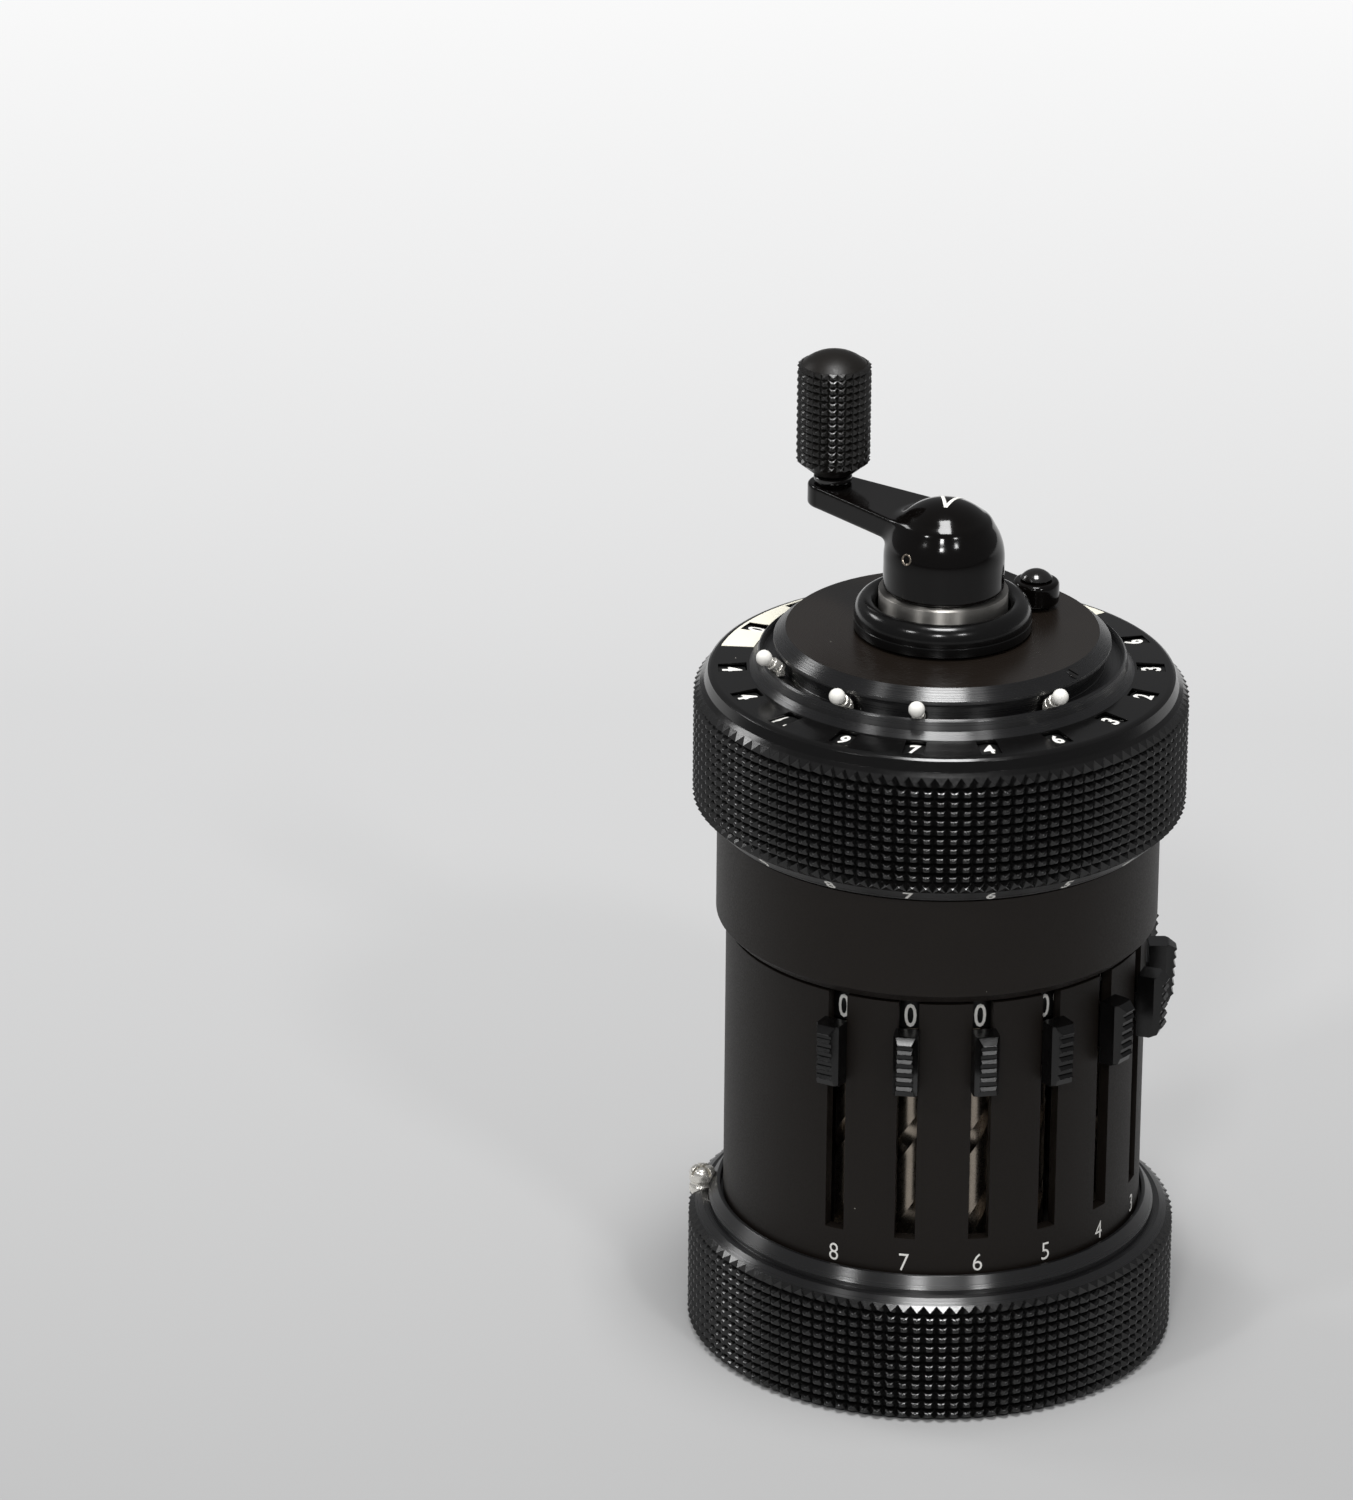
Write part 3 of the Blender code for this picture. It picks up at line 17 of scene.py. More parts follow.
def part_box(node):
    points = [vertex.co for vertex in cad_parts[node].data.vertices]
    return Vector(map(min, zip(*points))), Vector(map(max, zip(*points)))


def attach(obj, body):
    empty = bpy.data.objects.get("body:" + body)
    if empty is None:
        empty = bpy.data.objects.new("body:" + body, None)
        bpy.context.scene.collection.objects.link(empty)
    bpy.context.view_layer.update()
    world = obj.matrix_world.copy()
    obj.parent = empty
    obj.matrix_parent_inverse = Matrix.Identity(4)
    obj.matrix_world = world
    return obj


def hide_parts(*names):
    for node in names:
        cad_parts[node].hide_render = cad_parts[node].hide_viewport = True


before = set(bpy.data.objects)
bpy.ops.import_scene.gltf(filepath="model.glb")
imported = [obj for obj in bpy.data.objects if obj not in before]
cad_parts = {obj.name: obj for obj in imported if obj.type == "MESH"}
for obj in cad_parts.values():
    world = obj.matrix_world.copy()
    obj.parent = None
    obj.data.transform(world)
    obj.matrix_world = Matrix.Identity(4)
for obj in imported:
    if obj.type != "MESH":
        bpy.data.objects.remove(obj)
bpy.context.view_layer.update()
scene = bpy.context.scene
MILLI = 0.001

# Angles of what stands round the axis
SLIDER_ANGLES = [70 - 20 * place for place in range(8)]
RESULT_ANGLES = [70 - 20 * place for place in range(11)]
COUNTER_ANGLES = [200 - 20 * place for place in range(6)]
MARKER_ANGLES = [-114.2, -76.4, -50.5, -4.3]
CRANK_ANGLE = -174.2
STUD_ANGLE = -138
PIVOT_ANGLE = 82.4
IVORY_START, IVORY_STOP = 90.5, 215.0
VIEW_ANGLE = -43.2

# What the windows show; four and a half is a dial on its way from 4 to 5
RESULT_DIGITS = [6, 3, 2, 3, 6, 4, 7, 9, 4.5, 4, 4]
COUNTER_DIGITS = [0, 0, 0, 0, 2, 7]

# Knurls: outer radius, depth and columns, a row's height for its width, and how deep a foot sinks
RING_RADIUS = 26.5
RING_KNURL_DEPTH = 0.72
RING_COLUMNS = 118
HANDLE_RADIUS = 4.0
HANDLE_KNURL_DEPTH = 0.42
HANDLE_COLUMNS = 25
KNURL_ROW_SHARE = 0.84
KNURL_SUNK = 0.06

# Radii, distances from the axis and levels that several shapes follow
RING_ROOT = RING_RADIUS - RING_KNURL_DEPTH
TUBE_RADIUS = 22.7
TUBE_WALL_MIDDLE = 22.05
SLOT_WIDTH = 2.2
STUD_REACH = 25.15
SHAFT_REACH = 18.2
WHEEL_RADIUS = 3.08
DIAL_REACH = 19.6
DIAL_TOP = 76.6
DOME_RADIUS, DOME_LEVEL = 6.45, 89.5
ARM_REACH = 16
CROWN_RADIUS, CROWN_TOP = 5.07, 108.6
PIVOT_REACH = 12.18
LEVER_LEVEL, LEVER_HALF = 82.425, 0.775

# Degrees between faces beyond which an edge is bevelled, or stays sharp in the shading
BEVEL_ANGLE = 35
SHARP_ANGLE = 32

# A Mix node's inputs for its two colours, and its output for the mixed one
FIRST, SECOND, MIXED = 6, 7, 2


# ---------------------------------------------------------------- meshes


def about_axis(angle):
    return Matrix.Rotation(math.radians(angle), 4, "Z")


def leaning(angle):
    return Matrix.Rotation(math.radians(angle), 4, "X")


def shift(x, y, z):
    return Matrix.Translation((x, y, z))


def mesh_from(bm):
    bmesh.ops.recalc_face_normals(bm, faces=bm.faces)
    mesh = bpy.data.meshes.new("shape")
    bm.to_mesh(mesh)
    bm.free()
    return mesh


def held(mesh):
    """An object that holds a mesh while modifiers work on it."""
    holder = bpy.data.objects.new("holder", mesh)
    scene.collection.objects.link(holder)
    return holder


def evaluated(holder):
    graph = bpy.context.evaluated_depsgraph_get()
    graph.update()
    return bpy.data.meshes.new_from_object(holder.evaluated_get(graph))


def moved(mesh, place):
    made = mesh.copy()
    made.transform(place)
    return made


def gathered(*parts):
    """One mesh out of (mesh, place in the piece's list of finishes)."""
    bm = bmesh.new()
    for mesh, finish_index in parts:
        start = len(bm.faces)
        bm.from_mesh(mesh)
        bm.faces.ensure_lookup_table()
        for face in bm.faces[start:]:
            face.material_index = finish_index
    mesh = bpy.data.meshes.new("gathered")
    bm.to_mesh(mesh)
    bm.free()
    return mesh


def eased(outline, ease, steps=3):
    """The outline with a small curve at each corner, as a deburred edge has."""
    count = len(outline)
    points = []
    for index, corner in enumerate(outline):
        radius = corner[2] if len(corner) > 2 else ease
        here = Vector(corner[:2])
        back = Vector(outline[index - 1][:2]) - here
        ahead = Vector(outline[(index + 1) % count][:2]) - here
        opening = back.angle(ahead, 0)
        if corner[0] < 1e-6 or radius == 0 or opening > 3.05 or opening < 0.05:
            points.append(tuple(here))
            continue
        cut = min(radius / math.tan(opening / 2), 0.45 * back.length, 0.45 * ahead.length)
        start, end = here + back.normalized() * cut, here + ahead.normalized() * cut
        for step in range(steps + 1):
            share = step / steps
            curve = start * (1 - share) ** 2 + here * 2 * share * (1 - share) + end * share**2
            points.append(tuple(curve))
    return points


def arc(reach, level, width, height, turns):
    """Points of an outline's rounded top, as far round as the turns say, each left as it is."""
    return [(reach + width * math.sin(turn), level + height * math.cos(turn), 0) for turn in turns]


def turned(outline, sides=160, ease=0.1):
    """A lathe-turned solid: the eased outline of (radius, level) spun round the axis."""
    bm = bmesh.new()
    turns = [2 * math.pi * side / sides for side in range(sides)]
    rings = []
    for radius, level in eased(outline, ease):
        if radius < 1e-6:
            rings.append([bm.verts.new((0, 0, level))] * sides)
        else:
            spots = [(radius * math.sin(turn), -radius * math.cos(turn), level) for turn in turns]
            rings.append([bm.verts.new(spot) for spot in spots])
    for lower, upper in zip(rings, rings[1:] + rings[:1]):
        for side in range(sides):
            after = (side + 1) % sides
            corners = []
            for vert in (lower[side], lower[after], upper[after], upper[side]):
                if vert not in corners:
                    corners.append(vert)
            if len(corners) > 2:
                bm.faces.new(corners)
    return mesh_from(bm)


def blocks(size, places):
    bm = bmesh.new()
    for place in places:
        bmesh.ops.create_cube(bm, size=1, matrix=place @ Matrix.Diagonal((*size, 1)))
    return mesh_from(bm)


def lofted(sections):
    """A closed solid through loops of the same number of points."""
    bm = bmesh.new()
    loops = [[bm.verts.new(point) for point in section] for section in sections]
    for lower, upper in zip(loops, loops[1:]):
        for index in range(len(lower)):
            after = (index + 1) % len(lower)
            bm.faces.new((lower[index], lower[after], upper[after], upper[index]))
    bm.faces.new(loops[0][::-1])
    bm.faces.new(loops[-1])
    return mesh_from(bm)


def bevelled(mesh, width):
    holder = held(mesh)
    edge = holder.modifiers.new("edge", "BEVEL")
    edge.width, edge.segments = width, 2
    edge.limit_method, edge.angle_limit = "ANGLE", math.radians(BEVEL_ANGLE)
    edge.harden_normals = False
    made = evaluated(holder)
    bpy.data.objects.remove(holder)
    return made


def carved(mesh, cutter):
    holder, tool = held(mesh), held(cutter)
    cut = holder.modifiers.new("cut", "BOOLEAN")
    cut.operation, cut.solver, cut.object = "DIFFERENCE", "EXACT", tool
    made = evaluated(holder)
    bpy.data.objects.remove(holder)
    bpy.data.objects.remove(tool)
    return made


def joined_softly(first, second, blend):
    """Two distance fields as one body, with a fillet where they meet."""
    share = np.clip(0.5 + 0.5 * (second - first) / blend, 0, 1)
    return second * (1 - share) + first * share - blend * share * (1 - share)


def cut_softly(body, void, blend):
    return -joined_softly(-body, void, blend)


def rounded_slab(plan, level, middle, half, edge):
    """A flat shape: its plan's distance, between two levels, with a rounded edge."""
    sides = np.stack((plan + edge, np.abs(level - middle) - half + edge))
    return np.minimum(sides.max(0), 0) + np.hypot(*np.maximum(sides, 0)) - edge


def cast(field, low, high, cell):
    """A casting: the closed surface where the field is zero, each corner drawn onto it."""
    axes = [np.arange(a - 2 * cell, b + 2 * cell, cell) for a, b in zip(low, high)]
    grid = np.stack(np.meshgrid(*axes, indexing="ij"), -1)
    inside = field(grid.reshape(-1, 3)).reshape(grid.shape[:3]) < 0
    shape = np.array(inside.shape) - 1
    filled = np.zeros(shape, int)
    for i in (0, 1):
        for j in (0, 1):
            for k in (0, 1):
                filled += inside[i : i + shape[0], j : j + shape[1], k : k + shape[2]]
    mixed = (filled > 0) & (filled < 8)
    number = -np.ones(shape, int)
    number[mixed] = np.arange(mixed.sum())
    points = grid[0, 0, 0] + (np.argwhere(mixed) + 0.5) * cell
    tiny = cell * 0.05
    for _ in range(7):
        value = field(points)
        slope = np.stack([field(points + tiny * side) - value for side in np.eye(3)], -1) / tiny
        step = value[:, None] * slope / np.maximum((slope**2).sum(1), 0.2)[:, None]
        points = points - np.clip(step, -cell, cell) * 0.8
    faces = []
    for axis in range(3):
        second, third = (axis + 1) % 3, (axis + 2) % 3
        here = inside.take(range(inside.shape[axis] - 1), axis)
        there = inside.take(range(1, inside.shape[axis]), axis)
        for sign, crossing in ((1, here & ~there), (-1, ~here & there)):
            base = np.argwhere(crossing)
            base = base[(base[:, second] > 0) & (base[:, third] > 0)]
            corners = []
            for b, c in ((1, 1), (0, 1), (0, 0), (1, 0))[::sign]:
                spot = base.copy()
                spot[:, second] -= b
                spot[:, third] -= c
                corners.append(number[tuple(spot.T)])
            faces.append(np.stack(corners, 1))
    mesh = bpy.data.meshes.new("casting")
    mesh.from_pydata(points.tolist(), [], np.concatenate(faces).tolist())
    mesh.validate()
    return mesh


# ---------------------------------------------------------------- nodes and knurls


def node(tree, kind, sockets=None, **settings):
    """Adds a node; a socket is given a value or the output that feeds it."""
    made = tree.nodes.new(kind)
    for name, value in settings.items():
        setattr(made, name, value)
    for key, value in (sockets or {}).items():
        if isinstance(value, bpy.types.NodeSocket):
            tree.links.new(value, made.inputs[key])
        else:
            made.inputs[key].default_value = value
    return made


def repeating_tree():
    """Geometry nodes that set one small shape round the axis in columns and rows."""
    tree = bpy.data.node_groups.new("shape_repeated_round_the_axis", "GeometryNodeTree")
    inputs = {
        "geometry": "Geometry", "shape": "Object", "finish": "Material", "columns": "Int", "rows": "Int",
        "radius": "Float", "first_level": "Float", "level_step": "Float",
        "first_angle": "Float", "angle_step": "Float",
    }
    for name, kind in inputs.items():
        tree.interface.new_socket(name, in_out="INPUT", socket_type="NodeSocket" + kind)
    tree.interface.new_socket("geometry", in_out="OUTPUT", socket_type="NodeSocketGeometry")

    found = {socket.name: socket for socket in node(tree, "NodeGroupInput").outputs}
    found["index"] = node(tree, "GeometryNodeInputIndex").outputs[0]
    sums = (
        ("column", "MODULO", "index", "columns"),
        ("index_inside", "ADD", "index", 0.5),
        ("rows_passed", "DIVIDE", "index_inside", "columns"),
        ("row", "FLOOR", "rows_passed"),
        ("angle", "MULTIPLY_ADD", "column", "angle_step", "first_angle"),
        ("level", "MULTIPLY_ADD", "row", "level_step", "first_level"),
        ("sine", "SINE", "angle"),
        ("across", "MULTIPLY", "sine", "radius"),
        ("cosine", "COSINE", "angle"),
        ("forward", "MULTIPLY", "cosine", "radius"),
        ("along", "MULTIPLY", "forward", -1.0),
        ("count", "MULTIPLY", "columns", "rows"),
    )
    for name, operation, *values in sums:
        sockets = {place: found.get(value, value) for place, value in enumerate(values)}
        found[name] = node(tree, "ShaderNodeMath", sockets, operation=operation).outputs[0]

    place = {0: found["across"], 1: found["along"], 2: found["level"]}
    spot = node(tree, "ShaderNodeCombineXYZ", place).outputs[0]
    points = node(tree, "GeometryNodePoints", {"Count": found["count"], "Position": spot}).outputs[0]
    shape = node(tree, "GeometryNodeObjectInfo", {"Object": found["shape"]}).outputs["Geometry"]
    euler = node(tree, "ShaderNodeCombineXYZ", {2: found["angle"]}).outputs[0]
    turn = node(tree, "FunctionNodeEulerToRotation", {0: euler}).outputs[0]
    seated = {"Points": points, "Instance": shape, "Rotation": turn}
    placed = node(tree, "GeometryNodeInstanceOnPoints", seated).outputs[0]
    real = node(tree, "GeometryNodeRealizeInstances", {"Geometry": placed}).outputs[0]
    dressed = {"Geometry": real, "Material": found["finish"]}
    finished = node(tree, "GeometryNodeSetMaterial", dressed).outputs[0]
    node(tree, "NodeGroupOutput", {0: finished})
    return tree


REPEATING = repeating_tree()


def repeated(shape, look, **sizes):
    """The shape set round the axis by the tree, as one plain mesh; one row at level 0 unless told."""
    pattern, holder = held(shape), held(bpy.data.meshes.new("pattern"))
    spread = holder.modifiers.new("spread", "NODES")
    spread.node_group = REPEATING
    one_row = {"rows": 1, "first_level": 0.0, "level_step": 0.0, "first_angle": 0.0}
    values = {"shape": pattern, "finish": look, **one_row, **sizes}
    for socket in REPEATING.interface.items_tree:
        if socket.in_out == "INPUT" and socket.name in values:
            spread[socket.identifier] = values[socket.name]
    made = evaluated(holder)
    bpy.data.objects.remove(holder)
    bpy.data.objects.remove(pattern)
    made.materials.clear()
    return made


def pyramid(width, height, depth):
    """One point of a square knurl, its tip worn round; its foot sinks a little into the ring."""
    corners = [(-1, -1), (0, -1), (1, -1), (1, 0), (1, 1), (0, 1), (-1, 1), (-1, 0)]
    # share of the foot's width, how round, share of the depth
    steps = ((1, 0, 0), (0.47, 0.35, 0.8), (0.27, 0.8, 0.945))
    bm = bmesh.new()
    rings = [[bm.verts.new((x * width / 2, KNURL_SUNK, z * height / 2)) for x, z in corners]]
    for share, roundness, rise in steps:
        ring = []
        for x, z in corners:
            drawn_in = share * (1 - roundness * (1 - 1 / math.hypot(x, z)))
            ring.append(bm.verts.new((x * drawn_in * width / 2, -depth * rise, z * drawn_in * height / 2)))
        rings.append(ring)
    tip = bm.verts.new((0, -depth, 0))
    for lower, upper in zip(rings, rings[1:]):
        for index in range(8):
            after = (index + 1) % 8
            bm.faces.new((lower[index], lower[after], upper[after], upper[index]))
    for index in range(8):
        bm.faces.new((rings[-1][index], rings[-1][(index + 1) % 8], tip))
    bm.faces.new(rings[0])
    return mesh_from(bm)


def end_tooth(width, half_row, depth, run_out, way):
    """The half point at a knurl's end, which runs out on the bevel; way is 1 at the top, -1 below."""
    half = width / 2
    spots = [
        (-half, 0, -half_row), (half, 0, -half_row), (0, -depth, 0), (half, 0, run_out), (-half, 0, run_out),
        (-half, KNURL_SUNK, -half_row), (half, KNURL_SUNK, -half_row),
        (half, KNURL_SUNK, run_out), (-half, KNURL_SUNK, run_out),
    ]
    sides = (
        (0, 1, 2), (1, 3, 2), (3, 4, 2), (4, 0, 2),
        (5, 6, 1, 0), (6, 7, 3, 1), (7, 8, 4, 3), (8, 5, 0, 4), (5, 8, 7, 6),
    )
    bm = bmesh.new()
    verts = [bm.verts.new((x, y, z * way)) for x, y, z in spots]
    for side in sides:
        bm.faces.new([verts[corner] for corner in side])
    return mesh_from(bm)


def knurl(look, radius, depth, columns, bottom, top, run_outs):
    """Rows of points between two levels, with half points where the grooves run out on a bevel:
    run_outs gives that height at the top and at the foot, or None where the last row ends whole."""
    at_top, at_foot = run_outs
    rows = round((top - bottom) / (2 * math.pi * radius / columns * KNURL_ROW_SHARE))
    row = (top - bottom) / (rows + (0.5 if at_foot is None else 1))
    base = radius - depth
    width = 2 * base * math.tan(math.pi / columns)
    first = bottom + (row / 2 if at_foot is None else row)
    round_axis = {"columns": columns, "radius": base, "angle_step": 2 * math.pi / columns}
    whole = pyramid(width, row, depth)
    made = [repeated(whole, look, rows=rows, first_level=first, level_step=row, **round_axis)]
    for level, run_out, way in ((top, at_top, 1), (bottom, at_foot, -1)):
        if run_out is not None:
            tooth = end_tooth(width, row / 2, depth, run_out, way)
            made.append(repeated(tooth, look, first_level=level, **round_axis))
    return gathered(*[(mesh, 0) for mesh in made])


# ---------------------------------------------------------------- numerals


@cache
def numeral(sign, height, narrow, stroke):
    """An engraver's numeral lying in XY, centred, with a little thickness upwards."""
    curve = bpy.data.curves.new("sign", "FONT")
    curve.body, curve.size, curve.resolution_u = sign, 1, 3
    curve.extrude, curve.offset = 0.01, stroke
    holder = bpy.data.objects.new("sign", curve)
    scene.collection.objects.link(holder)
    mesh = evaluated(holder)
    bpy.data.objects.remove(holder)
    spots = np.array([v.co for v in mesh.vertices])
    low, high = spots.min(0), spots.max(0)
    scale = height / (high[1] - low[1])
    spots = (spots - (low + high) / 2) * (scale * narrow, scale, 2.5)
    mesh.vertices.foreach_set("co", spots.astype(np.float32).ravel())
    return mesh


def wrapped(mesh, radius, lift=0.0):
    """A flat sign laid round an upright cylinder, facing the front; it is cut into strips to bend."""
    strips = bmesh.new()
    strips.from_mesh(mesh)
    reach, step = max(abs(vert.co.x) for vert in strips.verts), math.sqrt(radius * 0.02)
    for cut in range(-int(reach / step), int(reach / step) + 1):
        whole = strips.verts[:] + strips.edges[:] + strips.faces[:]
        bmesh.ops.bisect_plane(strips, geom=whole, plane_co=(cut * step, 0, 0), plane_no=(1, 0, 0))
    made = bpy.data.meshes.new("bent_sign")
    strips.to_mesh(made)
    strips.free()
    spots = np.array([v.co for v in made.vertices])
    turn, reach = spots[:, 0] / radius, radius + spots[:, 2] + lift
    spots = np.stack((reach * np.sin(turn), -reach * np.cos(turn), spots[:, 1]), 1)
    made.vertices.foreach_set("co", spots.astype(np.float32).ravel())
    return made


# ---------------------------------------------------------------- finishes


def linear(code):
    parts = [int(code[place : place + 2], 16) / 255 for place in (1, 3, 5)]
    return (*[c / 12.92 if c <= 0.04045 else ((c + 0.055) / 1.055) ** 2.4 for c in parts], 1.0)


def finish(name, dark, light, patch, rough, grain, relief, turning=None, dust=0.0, **shader):
    """A finish: its colour drifts between two shades over patches (mm), its roughness between two
    values, and a grain (mm) stands up by the relief (mm). turning is the spacing (mm) of the rings
    that a lathe tool leaves round the axis, and dust the share of cells that hold a pale speck.
    What else is given goes to the shader's own sockets."""
    made = bpy.data.materials.new(name)
    made.use_nodes = True
    tree = made.node_tree
    tree.nodes.clear()
    spot = node(tree, "ShaderNodeTexCoord").outputs["Object"]
    pattern = {"Vector": spot, "Scale": 1 / (patch * MILLI), "Detail": 3.0}
    drift = node(tree, "ShaderNodeTexNoise", pattern).outputs["Fac"]
    shades = {0: drift, FIRST: linear(dark), SECOND: linear(light)}
    colour = node(tree, "ShaderNodeMix", shades, data_type="RGBA").outputs[MIXED]
    pattern = {"Vector": spot, "Scale": 1 / (grain * MILLI), "Detail": 4.0}
    fine = height = node(tree, "ShaderNodeTexNoise", pattern).outputs["Fac"]
    if turning:
        flat = node(tree, "ShaderNodeVectorMath", {0: spot, 1: (1, 1, 0)}, operation="MULTIPLY").outputs[0]
        reach = node(tree, "ShaderNodeVectorMath", {0: flat}, operation="LENGTH").outputs["Value"]
        level = node(tree, "ShaderNodeSeparateXYZ", {0: spot}).outputs[2]
        path = node(tree, "ShaderNodeCombineXYZ", {0: reach, 1: level}).outputs[0]
        pattern = {"Vector": path, "Scale": 1 / (turning * MILLI), "Detail": 2.0}
        rings = node(tree, "ShaderNodeTexNoise", pattern).outputs["Fac"]
        both = {0: rings, 1: 0.8, 2: fine}
        height = node(tree, "ShaderNodeMath", both, operation="MULTIPLY_ADD").outputs[0]
        fine = rings
    if dust:
        # cells of 1.7 mm; a speck is as wide as a tenth of its cell
        cells = node(tree, "ShaderNodeTexVoronoi", {"Vector": spot, "Scale": 1 / (1.7 * MILLI)}).outputs
        near = node(tree, "ShaderNodeMath", {0: cells["Distance"], 1: 0.045}, operation="LESS_THAN").outputs[0]
        pick = node(tree, "ShaderNodeSeparateXYZ", {0: cells["Color"]}).outputs[0]
        chosen = node(tree, "ShaderNodeMath", {0: pick, 1: dust}, operation="LESS_THAN").outputs[0]
        speck = node(tree, "ShaderNodeMath", {0: near, 1: chosen}, operation="MULTIPLY").outputs[0]
        shades = {0: speck, FIRST: colour, SECOND: linear("#8f8b85")}
        colour = node(tree, "ShaderNodeMix", shades, data_type="RGBA").outputs[MIXED]
    spread = {"Value": fine, "From Min": 0.3, "From Max": 0.7, "To Min": rough[0], "To Max": rough[1]}
    gloss = node(tree, "ShaderNodeMapRange", spread).outputs[0]
    bump = node(tree, "ShaderNodeBump", {"Height": height, "Distance": relief * MILLI}).outputs[0]
    sockets = {"Base Color": colour, "Roughness": gloss, "Normal": bump, **shader}
    surface = node(tree, "ShaderNodeBsdfPrincipled", sockets).outputs[0]
    node(tree, "ShaderNodeOutputMaterial", {"Surface": surface})
    return made


# Shader values of a dull coat, of tool rings that stretch a highlight, of bare metal and of a shine
SATIN = {"Specular IOR Level": 0.25}
RINGED = {"Anisotropic": 0.97, "Anisotropic Rotation": 0.25}
GROUND = {"Anisotropic": 0.98, "Anisotropic Rotation": 0.25}
BARE = {"Metallic": 1.0}


def gleam(level):
    return {"Specular IOR Level": level}


# Foot and carriage rings, black anodised aluminium off the lathe: satin black, and the fine rings
# stretch each highlight
ring_black = finish(
    "black_anodised_turned_aluminium", "#060607", "#0b0a0b", 5, (0.25, 0.36), 0.2, 0.0014,
    turning=0.12, dust=0.05, **gleam(0.9), **RINGED,
)
# Carriage's rim and hub, polished before anodising: glossier, tight highlights on rounded edges
rim_black = finish(
    "black_anodised_polished_aluminium", "#080808", "#0d0c0c", 5, (0.15, 0.2), 0.9, 0.0008,
    dust=0.06, **gleam(0.33),
)
# The rings where the knurling wheel ran: small facets, each with its own gleam
knurl_black = finish(
    "black_anodised_knurled_aluminium", "#050505", "#0c0b0b", 1.2, (0.15, 0.24), 0.15, 0.0012,
    dust=0.03, **gleam(0.55),
)
# Matt enamel sprayed on the case tube: soft dark grey with a faint orange peel
case_black = finish(
    "black_matt_enamel", "#110c08", "#15100c", 9, (0.48, 0.6), 0.18, 0.004, dust=0.05, **SATIN,
)
# Matt enamel on the collar, a little lighter and browner all over than the tube's
collar_black = finish(
    "black_matt_enamel_lighter", "#130e0a", "#18130f", 12, (0.45, 0.58), 0.2, 0.003, dust=0.04, **SATIN,
)
# Clearing plate, face turned fine and anodised: warm dark grey that takes on the room
plate_black = finish(
    "warm_black_anodised_face", "#16110d", "#1a1511", 8, (0.24, 0.32), 0.15, 0.0004,
    turning=0.08, dust=0.08, **gleam(0.5),
)
# Crank and levers, stoved gloss lacquer over a casting: deep black, mirror-like, a soft ripple
gloss_black = finish(
    "black_gloss_lacquer", "#050404", "#090706", 6, (0.07, 0.14), 1.4, 0.002, dust=0.07, **SATIN,
)
# Slider knobs, moulded phenolic: semi-gloss black, edges polished by fingers
knob_black = finish(
    "black_moulded_phenolic", "#050505", "#0a0909", 1.5, (0.18, 0.24), 0.6, 0.0005, **gleam(0.42),
)
# Crank grip's crown, anodised and worn satin: one broad soft highlight
crown_black = finish(
    "black_anodised_satin_crown", "#0f0d0b", "#15120f", 2, (0.36, 0.46), 0.2, 0.001, dust=0.04, **SATIN,
)
# Crank grip, knurled and anodised: worn points that gleam on the lit side
grip_black = finish(
    "black_anodised_knurled_grip", "#0b0a09", "#12100e", 1.5, (0.18, 0.28), 0.2, 0.0012,
    dust=0.05, **gleam(0.5),
)
# Number drums, satin black enamel on brass: even and nearly flat
wheel_black = finish("black_satin_enamel", "#0b0b0b", "#121212", 2, (0.35, 0.5), 0.12, 0.002, **SATIN)
# Numerals, engraved and filled with white paint: chalky, a little uneven
paint_white = finish("white_engraving_paint", "#dedcd6", "#f4f3ef", 0.5, (0.45, 0.6), 0.08, 0.003, **SATIN)
# Counter sector, ivory lacquer: smooth and faintly yellow
ivory = finish("ivory_lacquer", "#e9e5d2", "#f4f1e4", 4, (0.28, 0.4), 0.3, 0.001, **SATIN)
# Marker beads, moulded white resin: soft shine
bead_white = finish("white_resin_bead", "#dcdad4", "#f0eee9", 0.8, (0.25, 0.4), 0.15, 0.002, **SATIN)
# Lifting sleeve and main shaft, ground stainless steel: fine rings, streaked reflections
steel = finish(
    "ground_stainless_steel", "#989590", "#b4b1ac", 1.5, (0.38, 0.46), 0.08, 0.0004,
    turning=0.06, **BARE, **GROUND,
)
# Marker pins and the lock stud, nickel plated: bright, soft highlights
nickel = finish(
    "satin_nickel_plating", "#dddad2", "#f0ede6", 0.8, (0.2, 0.34), 0.1, 0.0008, Metallic=0.75,
)
# Setting shafts and the crank's grub screw, turned steel darkened by oil: dull grey, warm
shaft_steel = finish("oiled_turned_steel", "#8b8176", "#aba194", 1.2, (0.24, 0.36), 0.1, 0.001, **BARE)
# Bearing plates and the sliders' shoes, bead-blasted steel: pale grey, no highlight
plate_steel = finish("blasted_steel", "#77756f", "#8e8b84", 3, (0.4, 0.55), 0.1, 0.003, **BARE)
# Stepped drum, milled brass gone dull: brown yellow with tool rings
drum_brass = finish(
    "dull_milled_brass", "#8a6f3e", "#a98a52", 2, (0.3, 0.48), 0.12, 0.003, turning=0.15, **BARE,
)
# Small screws and the grip's pin, oil-blacked steel: black with one sharp gleam
screw_black = finish(
    "oil_blacked_steel", "#0b0a0a", "#141211", 0.8, (0.12, 0.22), 0.2, 0.001, **gleam(0.8),
)


# ---------------------------------------------------------------- pieces


